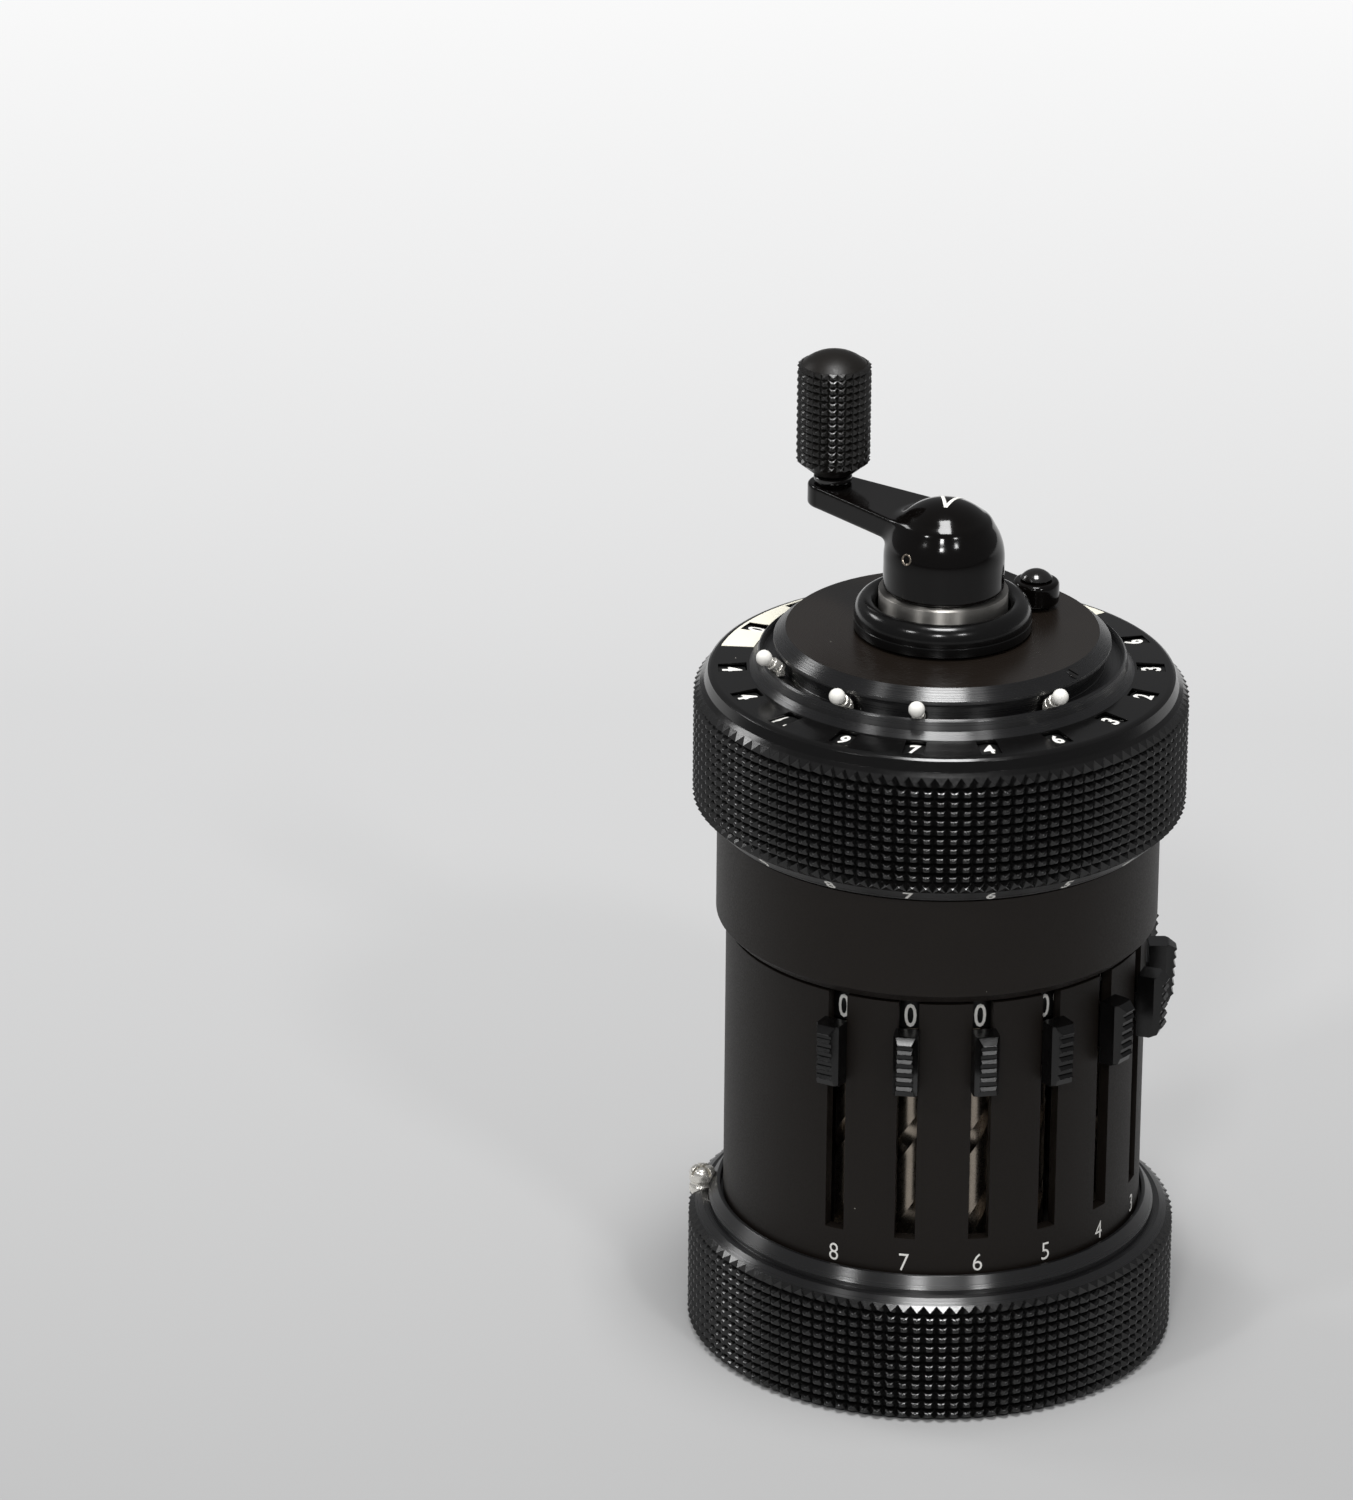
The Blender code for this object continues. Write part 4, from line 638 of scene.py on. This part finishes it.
def show(name, mesh, looks, body, nodes=()):
    """Finishes a piece: metres, smooth shading held by its flats, its finishes, body and nodes."""
    mesh.transform(Matrix.Diagonal((MILLI, MILLI, MILLI, 1)))
    places = np.zeros(len(mesh.polygons), np.int32)
    mesh.polygons.foreach_get("material_index", places)
    mesh.materials.clear()
    for look in looks:
        mesh.materials.append(look)
    mesh.polygons.foreach_set("material_index", places)
    mesh.shade_smooth()
    mesh.set_sharp_from_angle(angle=math.radians(SHARP_ANGLE))
    holder = held(mesh)
    weigh = holder.modifiers.new("weigh", "WEIGHTED_NORMAL")
    weigh.keep_sharp, weigh.weight = True, 80
    made = evaluated(holder)
    bpy.data.objects.remove(holder)
    made.name = name
    piece = bpy.data.objects.new(name, made)
    scene.collection.objects.link(piece)
    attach(piece, body)
    if nodes:
        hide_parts(*nodes)


def ring_knurl(bottom, top, run_outs):
    return knurl(knurl_black, RING_RADIUS, RING_KNURL_DEPTH, RING_COLUMNS, bottom, top, run_outs)


def stud_field(p):
    """Domed stud of the case lock with a cross slot and a turned groove; its own axis at x 0."""
    x, y, z = p[:, 0], p[:, 1] + STUD_REACH, p[:, 2]
    body = rounded_slab(np.hypot(x, y) - 1.42, z, 14.5, 1.75, 0.85)
    for across in ((x + y) * 0.7071, (x - y) * 0.7071):
        body = cut_softly(body, np.maximum(np.abs(across) - 0.16, 15.4 - z), 0.12)
    return cut_softly(body, np.hypot(np.hypot(x, y) - 1.54, z - 14.4) - 0.32, 0.12)


def base():
    """Foot ring with its knurl, the plate under it and the steel stud of the case lock."""
    knurl_top = 13.1
    run_out = RING_KNURL_DEPTH * 1.1 / 1.5
    outline = [
        (23.0, 16.0), (23.4, 16.0), (24.3, 14.7), (24.1, 14.7, 0.04), (24.1, 14.2, 0.04), (25.0, 14.2),
        (RING_ROOT, knurl_top + run_out, 0), (RING_ROOT, 0.3, 0), (25.5, 0), (22.2, 0), (22.2, 1.6),
        (20.0, 1.6), (20.0, 3.4), (21.4, 3.4), (21.4, 15.0), (23.0, 15.0),
    ]
    seat = turned([(0, 18), (1.45, 18), (1.45, 12.7), (0, 12.7)], 32, 0)
    ring = carved(turned(outline, 236), moved(seat, about_axis(STUD_ANGLE) @ shift(0, -STUD_REACH, 0)))
    show("foot_ring", ring, [ring_black], "housing", ["base_ring"])
    points = ring_knurl(0.25, knurl_top, (run_out, None))
    show("foot_knurl", points, [knurl_black], "housing")

    plate = turned([
        (0, 1.3), (21.9, 1.3), (21.9, 0.3, 0.2), (20.6, 0.3), (20.2, 0.55), (19.4, 0.55), (19.0, 0.3), (0, 0.3),
    ])
    show("foot_plate", plate, [case_black], "housing", ["base_plate"])
    head = turned([(0, 0.45), (1.5, 0.45), (1.5, 0.18), (1.2, 0.06, 0.1), (0, 0.06)], 24, 0.05)
    head = carved(head, blocks((4, 0.4, 0.5), [shift(0, 0, 0)]))
    heads = repeated(head, screw_black, columns=3, radius=15.0, first_angle=0.4, angle_step=2 * math.pi / 3)
    show("foot_plate_screws", heads, [screw_black], "housing")

    stud = cast(stud_field, (-1.55, -26.75, 12.6), (1.55, -23.55, 16.4), 0.08)
    stud = moved(stud, about_axis(STUD_ANGLE))
    show("lock_stud", stud, [nickel], "housing", ["case_lock_stud"])


def case():
    """Slotted tube with its numerals, and the collar above it."""
    tube = turned([(21.4, 47.6), (TUBE_RADIUS, 47.6), (TUBE_RADIUS, 15.3), (21.4, 15.3)], 240, 0.08)
    slots = [about_axis(angle) @ shift(0, -TUBE_WALL_MIDDLE, 35) for angle in SLIDER_ANGLES]
    tube = carved(tube, blocks((SLOT_WIDTH, 3, 30), slots))
    reversing_slot = about_axis(180) @ shift(0, -TUBE_WALL_MIDDLE, 39.2)
    tube = carved(tube, blocks((SLOT_WIDTH, 3, 13.6), [reversing_slot]))
    signs = [(tube, 0)]
    for place, angle in enumerate(SLIDER_ANGLES, 1):
        sign = wrapped(numeral(str(place), 2.0, 0.86, -0.008), TUBE_RADIUS)
        signs.append((moved(sign, about_axis(angle) @ shift(0, 0, 17.2)), 1))
    tube = gathered(*signs)
    show("case_tube", tube, [case_black, paint_white], "housing", ["slotted_sleeve"])
    collar = turned([
        (21.5, 66.0), (22.6, 66.0), (22.6, 60.0), (23.8, 60.0), (23.8, 49.0, 0.2), (22.7, 47.9), (21.5, 47.9),
    ], 200)
    show("collar_tube", collar, [collar_black], "housing", ["upper_collar"])


def knob_sections(top, height, ridges):
    """Level sections of a slider knob: a sloped brow, then undercut ridges on its narrow front."""
    profile = [
        (top, 25.1), (top - 0.06, 25.25), (top - 0.58, 26.03),
        (top - 0.66, 26.08), (top - 0.76, 26.04), (top - 0.98, 25.72),
    ]
    pitch = (height - 1.75) / ridges
    for ridge in range(ridges):
        valley, crest = top - 1.28 - pitch * ridge, 26.05 - 0.05 * ridge
        profile += [
            (valley, crest - 0.32), (valley - 0.02, crest - 0.2),
            (valley - 0.36, crest), (valley - 0.6, crest - 0.32),
        ]
    profile += [(top - height + 0.3, 25.3), (top - height, 24.5)]
    sections = []
    for level, reach in profile:
        half = min(1.3, 0.7 + (26.1 - reach) * 0.4)
        cheek, shoulder = min(25.5, reach - 0.03), min(24.9, reach - 0.06)
        front = [(1.3, 23.02), (1.32, shoulder), (max(0.94, half + 0.01), cheek), (half, reach)]
        plan = [(-1.3, 23.02)] + front + [(-x, y) for x, y in front[:0:-1]]
        sections.append([(x, -y, level) for x, y in plan])
    return sections


def slider_mesh(level, top, height, ridges, peg):
    """A knob with its shank and shoe, and for a setting slider the peg that runs in the groove."""
    knob = lofted(knob_sections(top, height, ridges))
    shank = bevelled(blocks((1.6, 2.5, 3.4), [shift(0, -21.9, level - 0.1)]), 0.08)
    shoe = bevelled(blocks((3.0, 0.45, 4.8), [shift(0, -20.85, level)]), 0.08)
    parts = [(knob, 0), (shank, 0), (shoe, 1)]
    if peg:
        rod = turned([(0, 1.3), (0.4, 1.3), (0.4, 0), (0, 0)], 20, 0.08)
        parts.append((moved(rod, shift(0, -19.6, level) @ leaning(90)), 1))
    return gathered(*parts)


def setting_shaft_mesh():
    """Drum with its ten numerals over a shaft with steep helical grooves, on the front line."""
    drum = turned([
        (0, 50), (0.8, 50), (0.8, 47.9), (WHEEL_RADIUS, 47.9), (WHEEL_RADIUS, 44.1), (2.2, 43.9), (0, 43.9),
    ], 48, 0.12)
    # plan of the grooved shaft: an arc on either side and two grooves with flat floors
    opening, arcs = math.radians(24.2), 12
    side = []
    for arc in range(arcs + 1):
        turn = opening + (math.pi - 2 * opening) * arc / arcs
        side.append((2.1 * math.sin(turn), -2.1 * math.cos(turn)))
    side += [(0.86, 1.0), (-0.86, 1.0)]
    outline = side + [(-x, -y) for x, y in side]
    foot_level, length, steps = 18.5, 25.7, 96
    sections = []
    for step in range(steps + 1):
        level = foot_level + length * step / steps
        twist = math.radians(18 * (level - 41.0))
        c, s = math.cos(twist), math.sin(twist)
        sections.append([(x * c - y * s, x * s + y * c, level) for x, y in outline])
    journal = turned([(0, 18.7), (0.8, 18.7), (0.8, 16.4), (0, 16.4)], 20)
    parts = [(drum, 0), (lofted(sections), 1), (journal, 1)]
    for digit in range(10):
        sign = wrapped(numeral(str(digit), 2.7, 0.76, 0.008), WHEEL_RADIUS, -0.01)
        parts.append((moved(sign, about_axis(-36 * digit) @ shift(0, 0, 45.6)), 2))
    return gathered(*parts)


def setting():
    """Eight sliders and their number shafts, and the reversing lever at the back."""
    knob = slider_mesh(41.0, 44.8, 7.1, 5, True)
    shaft = moved(setting_shaft_mesh(), shift(0, -SHAFT_REACH, 0))
    knob_looks, shaft_looks = [knob_black, plate_steel], [wheel_black, shaft_steel, paint_white]
    for place, angle in enumerate(SLIDER_ANGLES, 1):
        turn = about_axis(angle)
        name = f"setting_slider_{place}"
        show(f"slider_{place}", moved(knob, turn), knob_looks, name, [name])
        name = f"setting_shaft_{place}"
        show(f"number_shaft_{place}", moved(shaft, turn), shaft_looks, name, [name])
    lever = moved(slider_mesh(43.3, 46.2, 5.7, 4, False), about_axis(180))
    show("reversing_knob", lever, knob_looks, "reversing_lever", ["reversing_lever"])


def crank_field(p):
    """Domed cap and tapered arm in one casting; the arm lies towards the front here."""
    x, y, z = p.T
    dome = np.sqrt(x**2 + y**2 + np.maximum(z - DOME_LEVEL, 0) ** 2) - DOME_RADIUS
    share = np.clip(-y / ARM_REACH, 0, 1)
    plan = np.hypot(x, y + ARM_REACH * share) - (4.8 - 2.1 * share)
    arm = rounded_slab(plan, z, 92.5, 1.24, 0.36)
    body = joined_softly(dome, arm, 0.8)
    body = cut_softly(body, z - 86.2, 0.25)
    body = cut_softly(body, np.maximum(np.hypot(x, y) - 4.6, z - 90.0), 0.15)
    return cut_softly(body, np.hypot(x, y + ARM_REACH) - 1.5, 0.15)


def mark_stroke(end):
    """One stroke of the V mark: a strip of paint from its foot to this end, laid on the dome."""
    start, stop = Vector((0.05, -1.65)), Vector(end)
    across = (stop - start).normalized().orthogonal() * 0.18
    sections = []
    for step in range(9):
        spot = start.lerp(stop, step / 8)
        edges = []
        for side in (-1, 1):
            x, y = spot + across * side
            z = math.sqrt(DOME_RADIUS**2 - x * x - y * y)
            edges.append([(k * x, k * y, DOME_LEVEL + k * z) for k in (0.995, 1.004)])
        sections.append((edges[0][0], edges[1][0], edges[1][1], edges[0][1]))
    return lofted(sections)


def crank():
    """Crank casting with its mark and grub screw, the grip on its pin, and the lifting sleeve."""
    turn = about_axis(CRANK_ANGLE)
    parts = [(moved(cast(crank_field, (-7, -19, 86), (7, 7, 96.2), 0.14), turn), 0)]
    for end in ((-0.5, 2.8), (1.85, 2.6)):
        parts.append((moved(mark_stroke(end), about_axis(VIEW_ANGLE)), 1))
    grub = turned([
        (0, 0.38), (0.36, 0.38), (0.5, 0.5), (0.62, 0.5), (0.68, 0.3), (0.68, -0.6), (0, -0.6),
    ], 32, 0.04)
    grub = carved(grub, blocks((0.2, 0.9, 0.5), [shift(0, 0, 0.5)]))
    on_dome = about_axis(-82.4) @ shift(0, 0, DOME_LEVEL) @ leaning(77) @ shift(0, 0, 6.0)
    parts.append((moved(grub, on_dome), 2))
    looks = [gloss_black, paint_white, shaft_steel]
    show("crank_casting", gathered(*parts), looks, "crank", ["crank"])

    at_pin = turn @ shift(0, -ARM_REACH, 0)
    pin = turned([
        (0, 105.0), (1.2, 105.0), (1.2, 94.5), (2.06, 94.5), (2.06, 94.0), (1.2, 94.0),
        (1.2, 91.6, 0.3), (0, 91.45),
    ], 40)
    show("grip_pin", moved(pin, at_pin), [screw_black], "crank", ["handle_pin"])
    root = HANDLE_RADIUS - HANDLE_KNURL_DEPTH
    crown = []
    for radius in (0, 0.7, 1.4, 2.1, 2.7, 3.15, root):
        crown.append((radius, CROWN_TOP - (CROWN_RADIUS - math.sqrt(CROWN_RADIUS**2 - radius**2)), 0))
    grip = turned(crown + [
        (root, 96.06, 0), (2.06, 94.8), (1.5, 94.8), (1.5, 105.3), (0, 105.3),
    ], 108)
    points = knurl(
        grip_black, HANDLE_RADIUS, HANDLE_KNURL_DEPTH, HANDLE_COLUMNS, 96.4, 106.95, (0.27, 0.34),
    )
    grip = moved(gathered((grip, 1), (points, 0)), at_pin)
    show("crank_grip", grip, [grip_black, crown_black], "handle", ["handle_knob"])

    sleeve = turned([(4.6, 85.9), (6.9, 85.9), (6.9, 44.0), (4.6, 44.0)], 96)
    show("lifting_sleeve", sleeve, [steel], "crank_lift", ["lift_sleeve"])


def carriage_ring():
    """Knurled ring with its windows and their numbers, and the ivory sector of the counter."""
    # the lip, the floor out to the rim, the outside, and back through the inside
    outline = [
        (17.3, 79.5), (17.3, 77.9), (19.2, 77.9), (19.2, 78.58),
        (19.42, 78.95), (19.66, 78.66), (19.84, 77.66, 0.05), (20.55, 76.94, 0.03),
        (24.4, 76.7, 0.04), (24.68, 76.62, 0.03), (24.97, 76.43, 0.12), (25.34, 75.36, 0.04), (25.44, 75.26, 0.04),
        (RING_ROOT, 74.945, 0), (RING_ROOT, 61.81, 0), (24.2, 60.3), (23.0, 60.3), (23.0, 62.5),
        (25.0, 63.5), (25.0, 74.7), (24.1, 76.64, 0), (19.3, 76.64), (19.3, 69.5),
        (18.2, 69.5), (18.2, 76.9), (9.6, 76.9), (9.6, 66.0), (8.5, 66.0), (8.5, 79.5),
    ]
    windows = [about_axis(angle) @ shift(0, -22.33, 77.0) for angle in RESULT_ANGLES + COUNTER_ANGLES]
    openings = blocks((2.2, 3.05, 1.6), windows)
    parts = [(carved(turned(outline, 236), openings), 0)]
    # the lacquer: a thin skin between two radial lines
    skin, steps = ((20.6, 76.88), (20.6, 76.97), (24.2, 76.74), (24.2, 76.65)), 104
    sections = []
    for step in range(steps + 1):
        turn = about_axis(IVORY_START + (IVORY_STOP - IVORY_START) * step / steps)
        sections.append([turn @ Vector((0, -radius, level)) for radius, level in skin])
    parts.append((carved(lofted(sections), openings), 1))
    on_bevel = shift(0, -24.98, 61.05) @ leaning(90 + 46.3)
    for number, angle in [*enumerate(RESULT_ANGLES, 1), *enumerate(COUNTER_ANGLES, 1)]:
        sign = moved(numeral(str(number), 1.75, 0.95, 0.012), on_bevel)
        parts.append((moved(sign, about_axis(angle)), 2))
    whole = gathered(*parts)
    for face in whole.polygons:
        if face.material_index == 0 and face.center.xy.length > 20.3 and face.center.z > 62:
            face.material_index = 3
    looks = [ring_black, ivory, paint_white, rim_black]
    show("carriage_drum", whole, looks, "carriage", ["carriage_ring"])
    points = ring_knurl(62.5, 74.2, (0.745, 0.69))
    show("carriage_knurl", points, [knurl_black], "carriage")


def dial_mesh(level, digit):
    """A number drum on its radial axle, with this digit uppermost, on the front line."""
    radius = DIAL_TOP - level
    drum = turned([
        (0, 5.1), (0.6, 5.1), (0.6, 4.4), (radius, 4.4), (radius, 1.3), (1.7, 1.3), (1.7, 0), (0, 0),
    ], 48, 0.1)
    parts = [(moved(drum, shift(0, -DIAL_REACH, level) @ leaning(90)), 0)]
    for value in range(10):
        sign = wrapped(numeral(str(value), 2.15, 0.8, 0.03), radius, -0.01)
        roll = Matrix.Rotation(math.radians(36 * (value - digit)), 4, "Y")
        parts.append((moved(sign, shift(0, -22.35, level) @ roll @ leaning(-90)), 1))
    return gathered(*parts)


def dials():
    """Eleven result dials and six counter dials."""
    low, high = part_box("result_dial_4")
    level = round((low.z + high.z) / 2 / MILLI, 1)
    rows = (("result_dial", RESULT_ANGLES, RESULT_DIGITS), ("counter_dial", COUNTER_ANGLES, COUNTER_DIGITS))
    for kind, angles, digits in rows:
        for place, (angle, digit) in enumerate(zip(angles, digits), 1):
            name = f"{kind}_{place}"
            mesh = moved(dial_mesh(level, digit), about_axis(angle))
            show(f"{name}_drum", mesh, [wheel_black, paint_white], name, [name])


def hub():
    """Column of the carriage with its round-topped hub, which the crank's sleeve comes out of."""
    column = turned([
        (7.2, 84.2), (7.7, 84.8, 0.2), *arc(8.1, 83.2, 1.4, 1.75, [math.pi / 20 * step for step in range(11)]),
        (9.5, 82.8, 0.04), (9.42, 82.72, 0.02), (9.5, 82.64, 0.04), (9.5, 81.65),
        (8.2, 81.65), (8.2, 53.5), (10.5, 53.5), (10.5, 52.0), (7.2, 52.0),
    ], 128)
    show("carriage_hub", column, [rim_black], "carriage_lift", ["carriage_column"])


def clearing():
    """Clearing plate, the lever with its finger ring and the screw that holds it."""
    pivot = about_axis(PIVOT_ANGLE) @ shift(0, -PIVOT_REACH, 0)
    plate = turned([(16.72, 81.35), (18.0, 80.25, 0.06), (18.0, 79.8), (8.5, 79.8), (8.5, 81.35)], 200)
    hole = turned([(0, 82), (1.2, 82), (1.2, 80.55), (0, 80.55)], 24, 0)
    plate = carved(plate, moved(hole, pivot))
    for face in plate.polygons:
        face.material_index = 0 if face.normal.z > 0.99 and face.center.z > 81.3 else 1
    show("clearing_disc", plate, [plate_black, ring_black], "clearing", ["clearing_plate"])

    head = turned([(0, 0.14), (0.62, 0.14), (0.62, -0.5), (0, -0.5)], 32, 0.06)
    head = carved(head, blocks((0.2, 2, 0.3), [shift(0, 0, 0.14)]))
    slot_turn = Matrix.Rotation(0.6, 4, "Z")
    on_bevel = about_axis(9.5) @ shift(0, -17.4, 80.76) @ leaning(40.7) @ slot_turn
    show("clearing_bevel_screw", moved(head, on_bevel), [screw_black], "clearing")

    eye, ring_centre = pivot.translation, Vector((11.78, 12.25))
    along = ring_centre - eye.xy
    reach = along.length
    along.normalize()

    def lever_field(p):
        """Finger ring, neck and knuckle, blended as in a forging; drilled for the screw."""
        x, y, z = p.T
        from_eye_x, from_eye_y = x - eye.x, y - eye.y
        ring_plan = np.abs(np.hypot(x - ring_centre.x, y - ring_centre.y) - 5.375) - 0.875
        ring = rounded_slab(ring_plan, z, LEVER_LEVEL, LEVER_HALF, 0.4)
        knuckle = rounded_slab(np.hypot(from_eye_x, from_eye_y) - 2.5, z, 82.975, 1.325, 0.5)
        far = np.clip(from_eye_x * along.x + from_eye_y * along.y, 0, reach - 5.2)
        neck_plan = np.hypot(from_eye_x - far * along.x, from_eye_y - far * along.y) - 1.5
        neck = rounded_slab(neck_plan, z, LEVER_LEVEL, LEVER_HALF, 0.35)
        body = joined_softly(joined_softly(ring, neck, 0.5), knuckle, 0.6)
        return cut_softly(body, np.hypot(from_eye_x, from_eye_y) - 1.2, 0.1)

    lever = cast(lever_field, (5.3, -4.1, 81.6), (18.2, 18.7, 84.4), 0.16)
    show("clearing_ring_lever", lever, [gloss_black], "clearing_lever", ["clearing_lever"])
    cap = arc(0, 83.35, 2.1, 2.1, [0.12 * step for step in range(9)])
    screw = turned(cap + [(1.72, 84.5), (0.9, 84.5), (0.9, 80.85), (0, 80.85)], 48, 0.06)
    show("lever_screw_head", moved(screw, pivot), [screw_black], "clearing", ["lever_screw"])


def markers():
    """Decimal markers: a white bead on a nickel pin with a shoe in the channel."""
    ball = arc(0, 0, 0.87, 0.87, [math.pi * step / 12 for step in range(10)])
    bead = turned(ball + [(0.45, -0.95), (0, -0.95)], 32, 0.05)
    pin = turned([
        (0, -0.7), (0.6, -0.7), (0.6, -1.1), (0.74, -1.15), (0.74, -1.75), (0.66, -1.8),
        (0.66, -1.95), (0.74, -2.0), (0.74, -2.45), (0.4, -2.6), (0.3, -2.9), (0, -2.9),
    ], 32, 0.05)
    tilt = shift(0, -19.9, 80.1) @ leaning(50)
    shoe = bevelled(blocks((1.4, 1.0, 0.6), [shift(0, -18.25, 78.35)]), 0.1)
    marker = gathered((moved(bead, tilt), 0), (moved(pin, tilt), 1), (shoe, 1))
    for place, angle in enumerate(MARKER_ANGLES, 1):
        name, mesh = f"decimal_marker_{place}", moved(marker, about_axis(angle))
        show(f"decimal_bead_{place}", mesh, [bead_white, nickel], name, [name])


def inner_works():
    """What stays as the frame has it, seen only through slots: it gets its metal."""
    metals = {
        "lower_bearing_plate": plate_steel, "upper_bearing_plate": plate_steel,
        "top_bearing_plate": plate_steel, "main_shaft": steel, "step_drum": drum_brass,
    }
    for name, look in metals.items():
        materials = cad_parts[name].data.materials
        materials.clear()
        materials.append(look)


# ---------------------------------------------------------------- stage


def paper_sweep():
    """Smooth paper: pale, greyer towards the viewer, with a faint sheen; far off it runs up to
    plain white for whatever sees it."""
    paper = bpy.data.materials.new("pale_paper_sweep")
    paper.use_nodes = True
    tree = paper.node_tree
    tree.nodes.clear()
    spot = node(tree, "ShaderNodeTexCoord").outputs["Object"]
    view = math.radians(VIEW_ANGLE)
    away = {0: spot, 1: (-math.sin(view), math.cos(view), 0)}
    depth = node(tree, "ShaderNodeVectorMath", away, operation="DOT_PRODUCT").outputs["Value"]
    # metres from the axis, away from the viewer, between which the paper turns pale and then white
    pale = {"Value": depth, "From Min": -0.06, "From Max": 0.5}
    share = node(tree, "ShaderNodeMapRange", pale).outputs[0]
    greys = {0: share, FIRST: linear("#aaaaaa"), SECOND: linear("#f6f6f6")}
    grey = node(tree, "ShaderNodeMix", greys, data_type="RGBA").outputs[MIXED]
    sheen = {"Base Color": grey, "Roughness": 0.5, "Specular IOR Level": 0.3}
    surface = node(tree, "ShaderNodeBsdfPrincipled", sheen).outputs[0]
    seen = node(tree, "ShaderNodeLightPath").outputs
    rays = {0: seen["Is Camera Ray"], 1: seen["Is Glossy Ray"]}
    ray = node(tree, "ShaderNodeMath", rays, operation="MAXIMUM").outputs[0]
    rays = {0: ray, 1: seen["Is Transmission Ray"]}
    ray = node(tree, "ShaderNodeMath", rays, operation="MAXIMUM").outputs[0]
    far = node(tree, "ShaderNodeMapRange", {"Value": depth, "From Min": 0.17, "From Max": 0.5}).outputs[0]
    far = node(tree, "ShaderNodeMath", {0: far, 1: ray}, operation="MULTIPLY").outputs[0]
    white = node(tree, "ShaderNodeEmission", {"Color": linear("#fdfdfd"), "Strength": 1.0}).outputs[0]
    surface = node(tree, "ShaderNodeMixShader", {0: far, 1: surface, 2: white}).outputs[0]
    node(tree, "ShaderNodeOutputMaterial", {"Surface": surface})
    return paper


def softbox(name, azimuth, elevation, distance, size, power):
    """A soft lamp aimed at the object; its azimuth runs from the camera's side towards its right."""
    light = bpy.data.lights.new(name, "AREA")
    light.shape, light.size, light.size_y, light.energy = "RECTANGLE", size[0], size[1], power
    lamp = bpy.data.objects.new(name, light)
    scene.collection.objects.link(lamp)
    turn, rise = math.radians(azimuth + VIEW_ANGLE), math.radians(elevation)
    way = Vector((math.sin(turn) * math.cos(rise), -math.cos(turn) * math.cos(rise), math.sin(rise)))
    lamp.location = Vector((0, 0, 0.06)) + way * distance
    lamp.rotation_mode = "QUATERNION"
    lamp.rotation_quaternion = way.to_track_quat("Z", "Y")
    lamp.visible_camera = False


def stage():
    """Paper floor, a dim pale room, one box overhead, one low behind the left and three lamps."""
    bm = bmesh.new()
    bmesh.ops.create_grid(bm, x_segments=1, y_segments=1, size=4.0)
    mesh = bpy.data.meshes.new("floor")
    bm.to_mesh(mesh)
    bm.free()
    floor = bpy.data.objects.new("floor", mesh)
    scene.collection.objects.link(floor)
    mesh.materials.append(paper_sweep())

    world = bpy.data.worlds.new("room")
    scene.world = world
    world.use_nodes = True
    background = world.node_tree.nodes["Background"].inputs
    background["Color"].default_value = linear("#f2f3f5")
    background["Strength"].default_value = 0.24

    softbox("box_over", 6.5, 83.6, 0.8, (0.22, 0.26), 5.8)
    softbox("box_left", -117, 34, 1.1, (0.3, 0.15), 1.6)
    softbox("lamp_left", -47, 39, 1.2, (0.12, 0.12), 2.1)
    softbox("lamp_middle", -6, 34.5, 1.2, (0.13, 0.13), 3.1)
    softbox("lamp_right", 29, 39.3, 1.2, (0.12, 0.12), 2.1)


def camera():
    """The photograph's own view, from the fit to its rings."""
    pitch, yaw, roll = 0.400604845, -0.0327098883, 0.0086664
    stand = shift(0, -0.86252265, 0.43203386)
    forward = Vector((math.sin(yaw) * math.cos(pitch), math.cos(yaw) * math.cos(pitch), -math.sin(pitch)))
    right = Vector((math.cos(yaw), -math.sin(yaw), 0))
    up = right.cross(forward)
    right, up = right * math.cos(roll) + up * math.sin(roll), up * math.cos(roll) - right * math.sin(roll)
    facing = Matrix((right, up, -forward)).transposed().to_4x4()
    lens = bpy.data.cameras.new("viewer")
    lens.lens, lens.sensor_width, lens.sensor_fit = 209.8409, 36, "AUTO"
    lens.clip_start, lens.clip_end = 0.05, 20
    eye = bpy.data.objects.new("viewer", lens)
    scene.collection.objects.link(eye)
    eye.matrix_world = about_axis(VIEW_ANGLE) @ stand @ facing
    scene.camera = eye


scene.view_settings.view_transform = "Standard"
camera()
stage()
base()
case()
setting()
crank()
carriage_ring()
dials()
hub()
clearing()
markers()
inner_works()
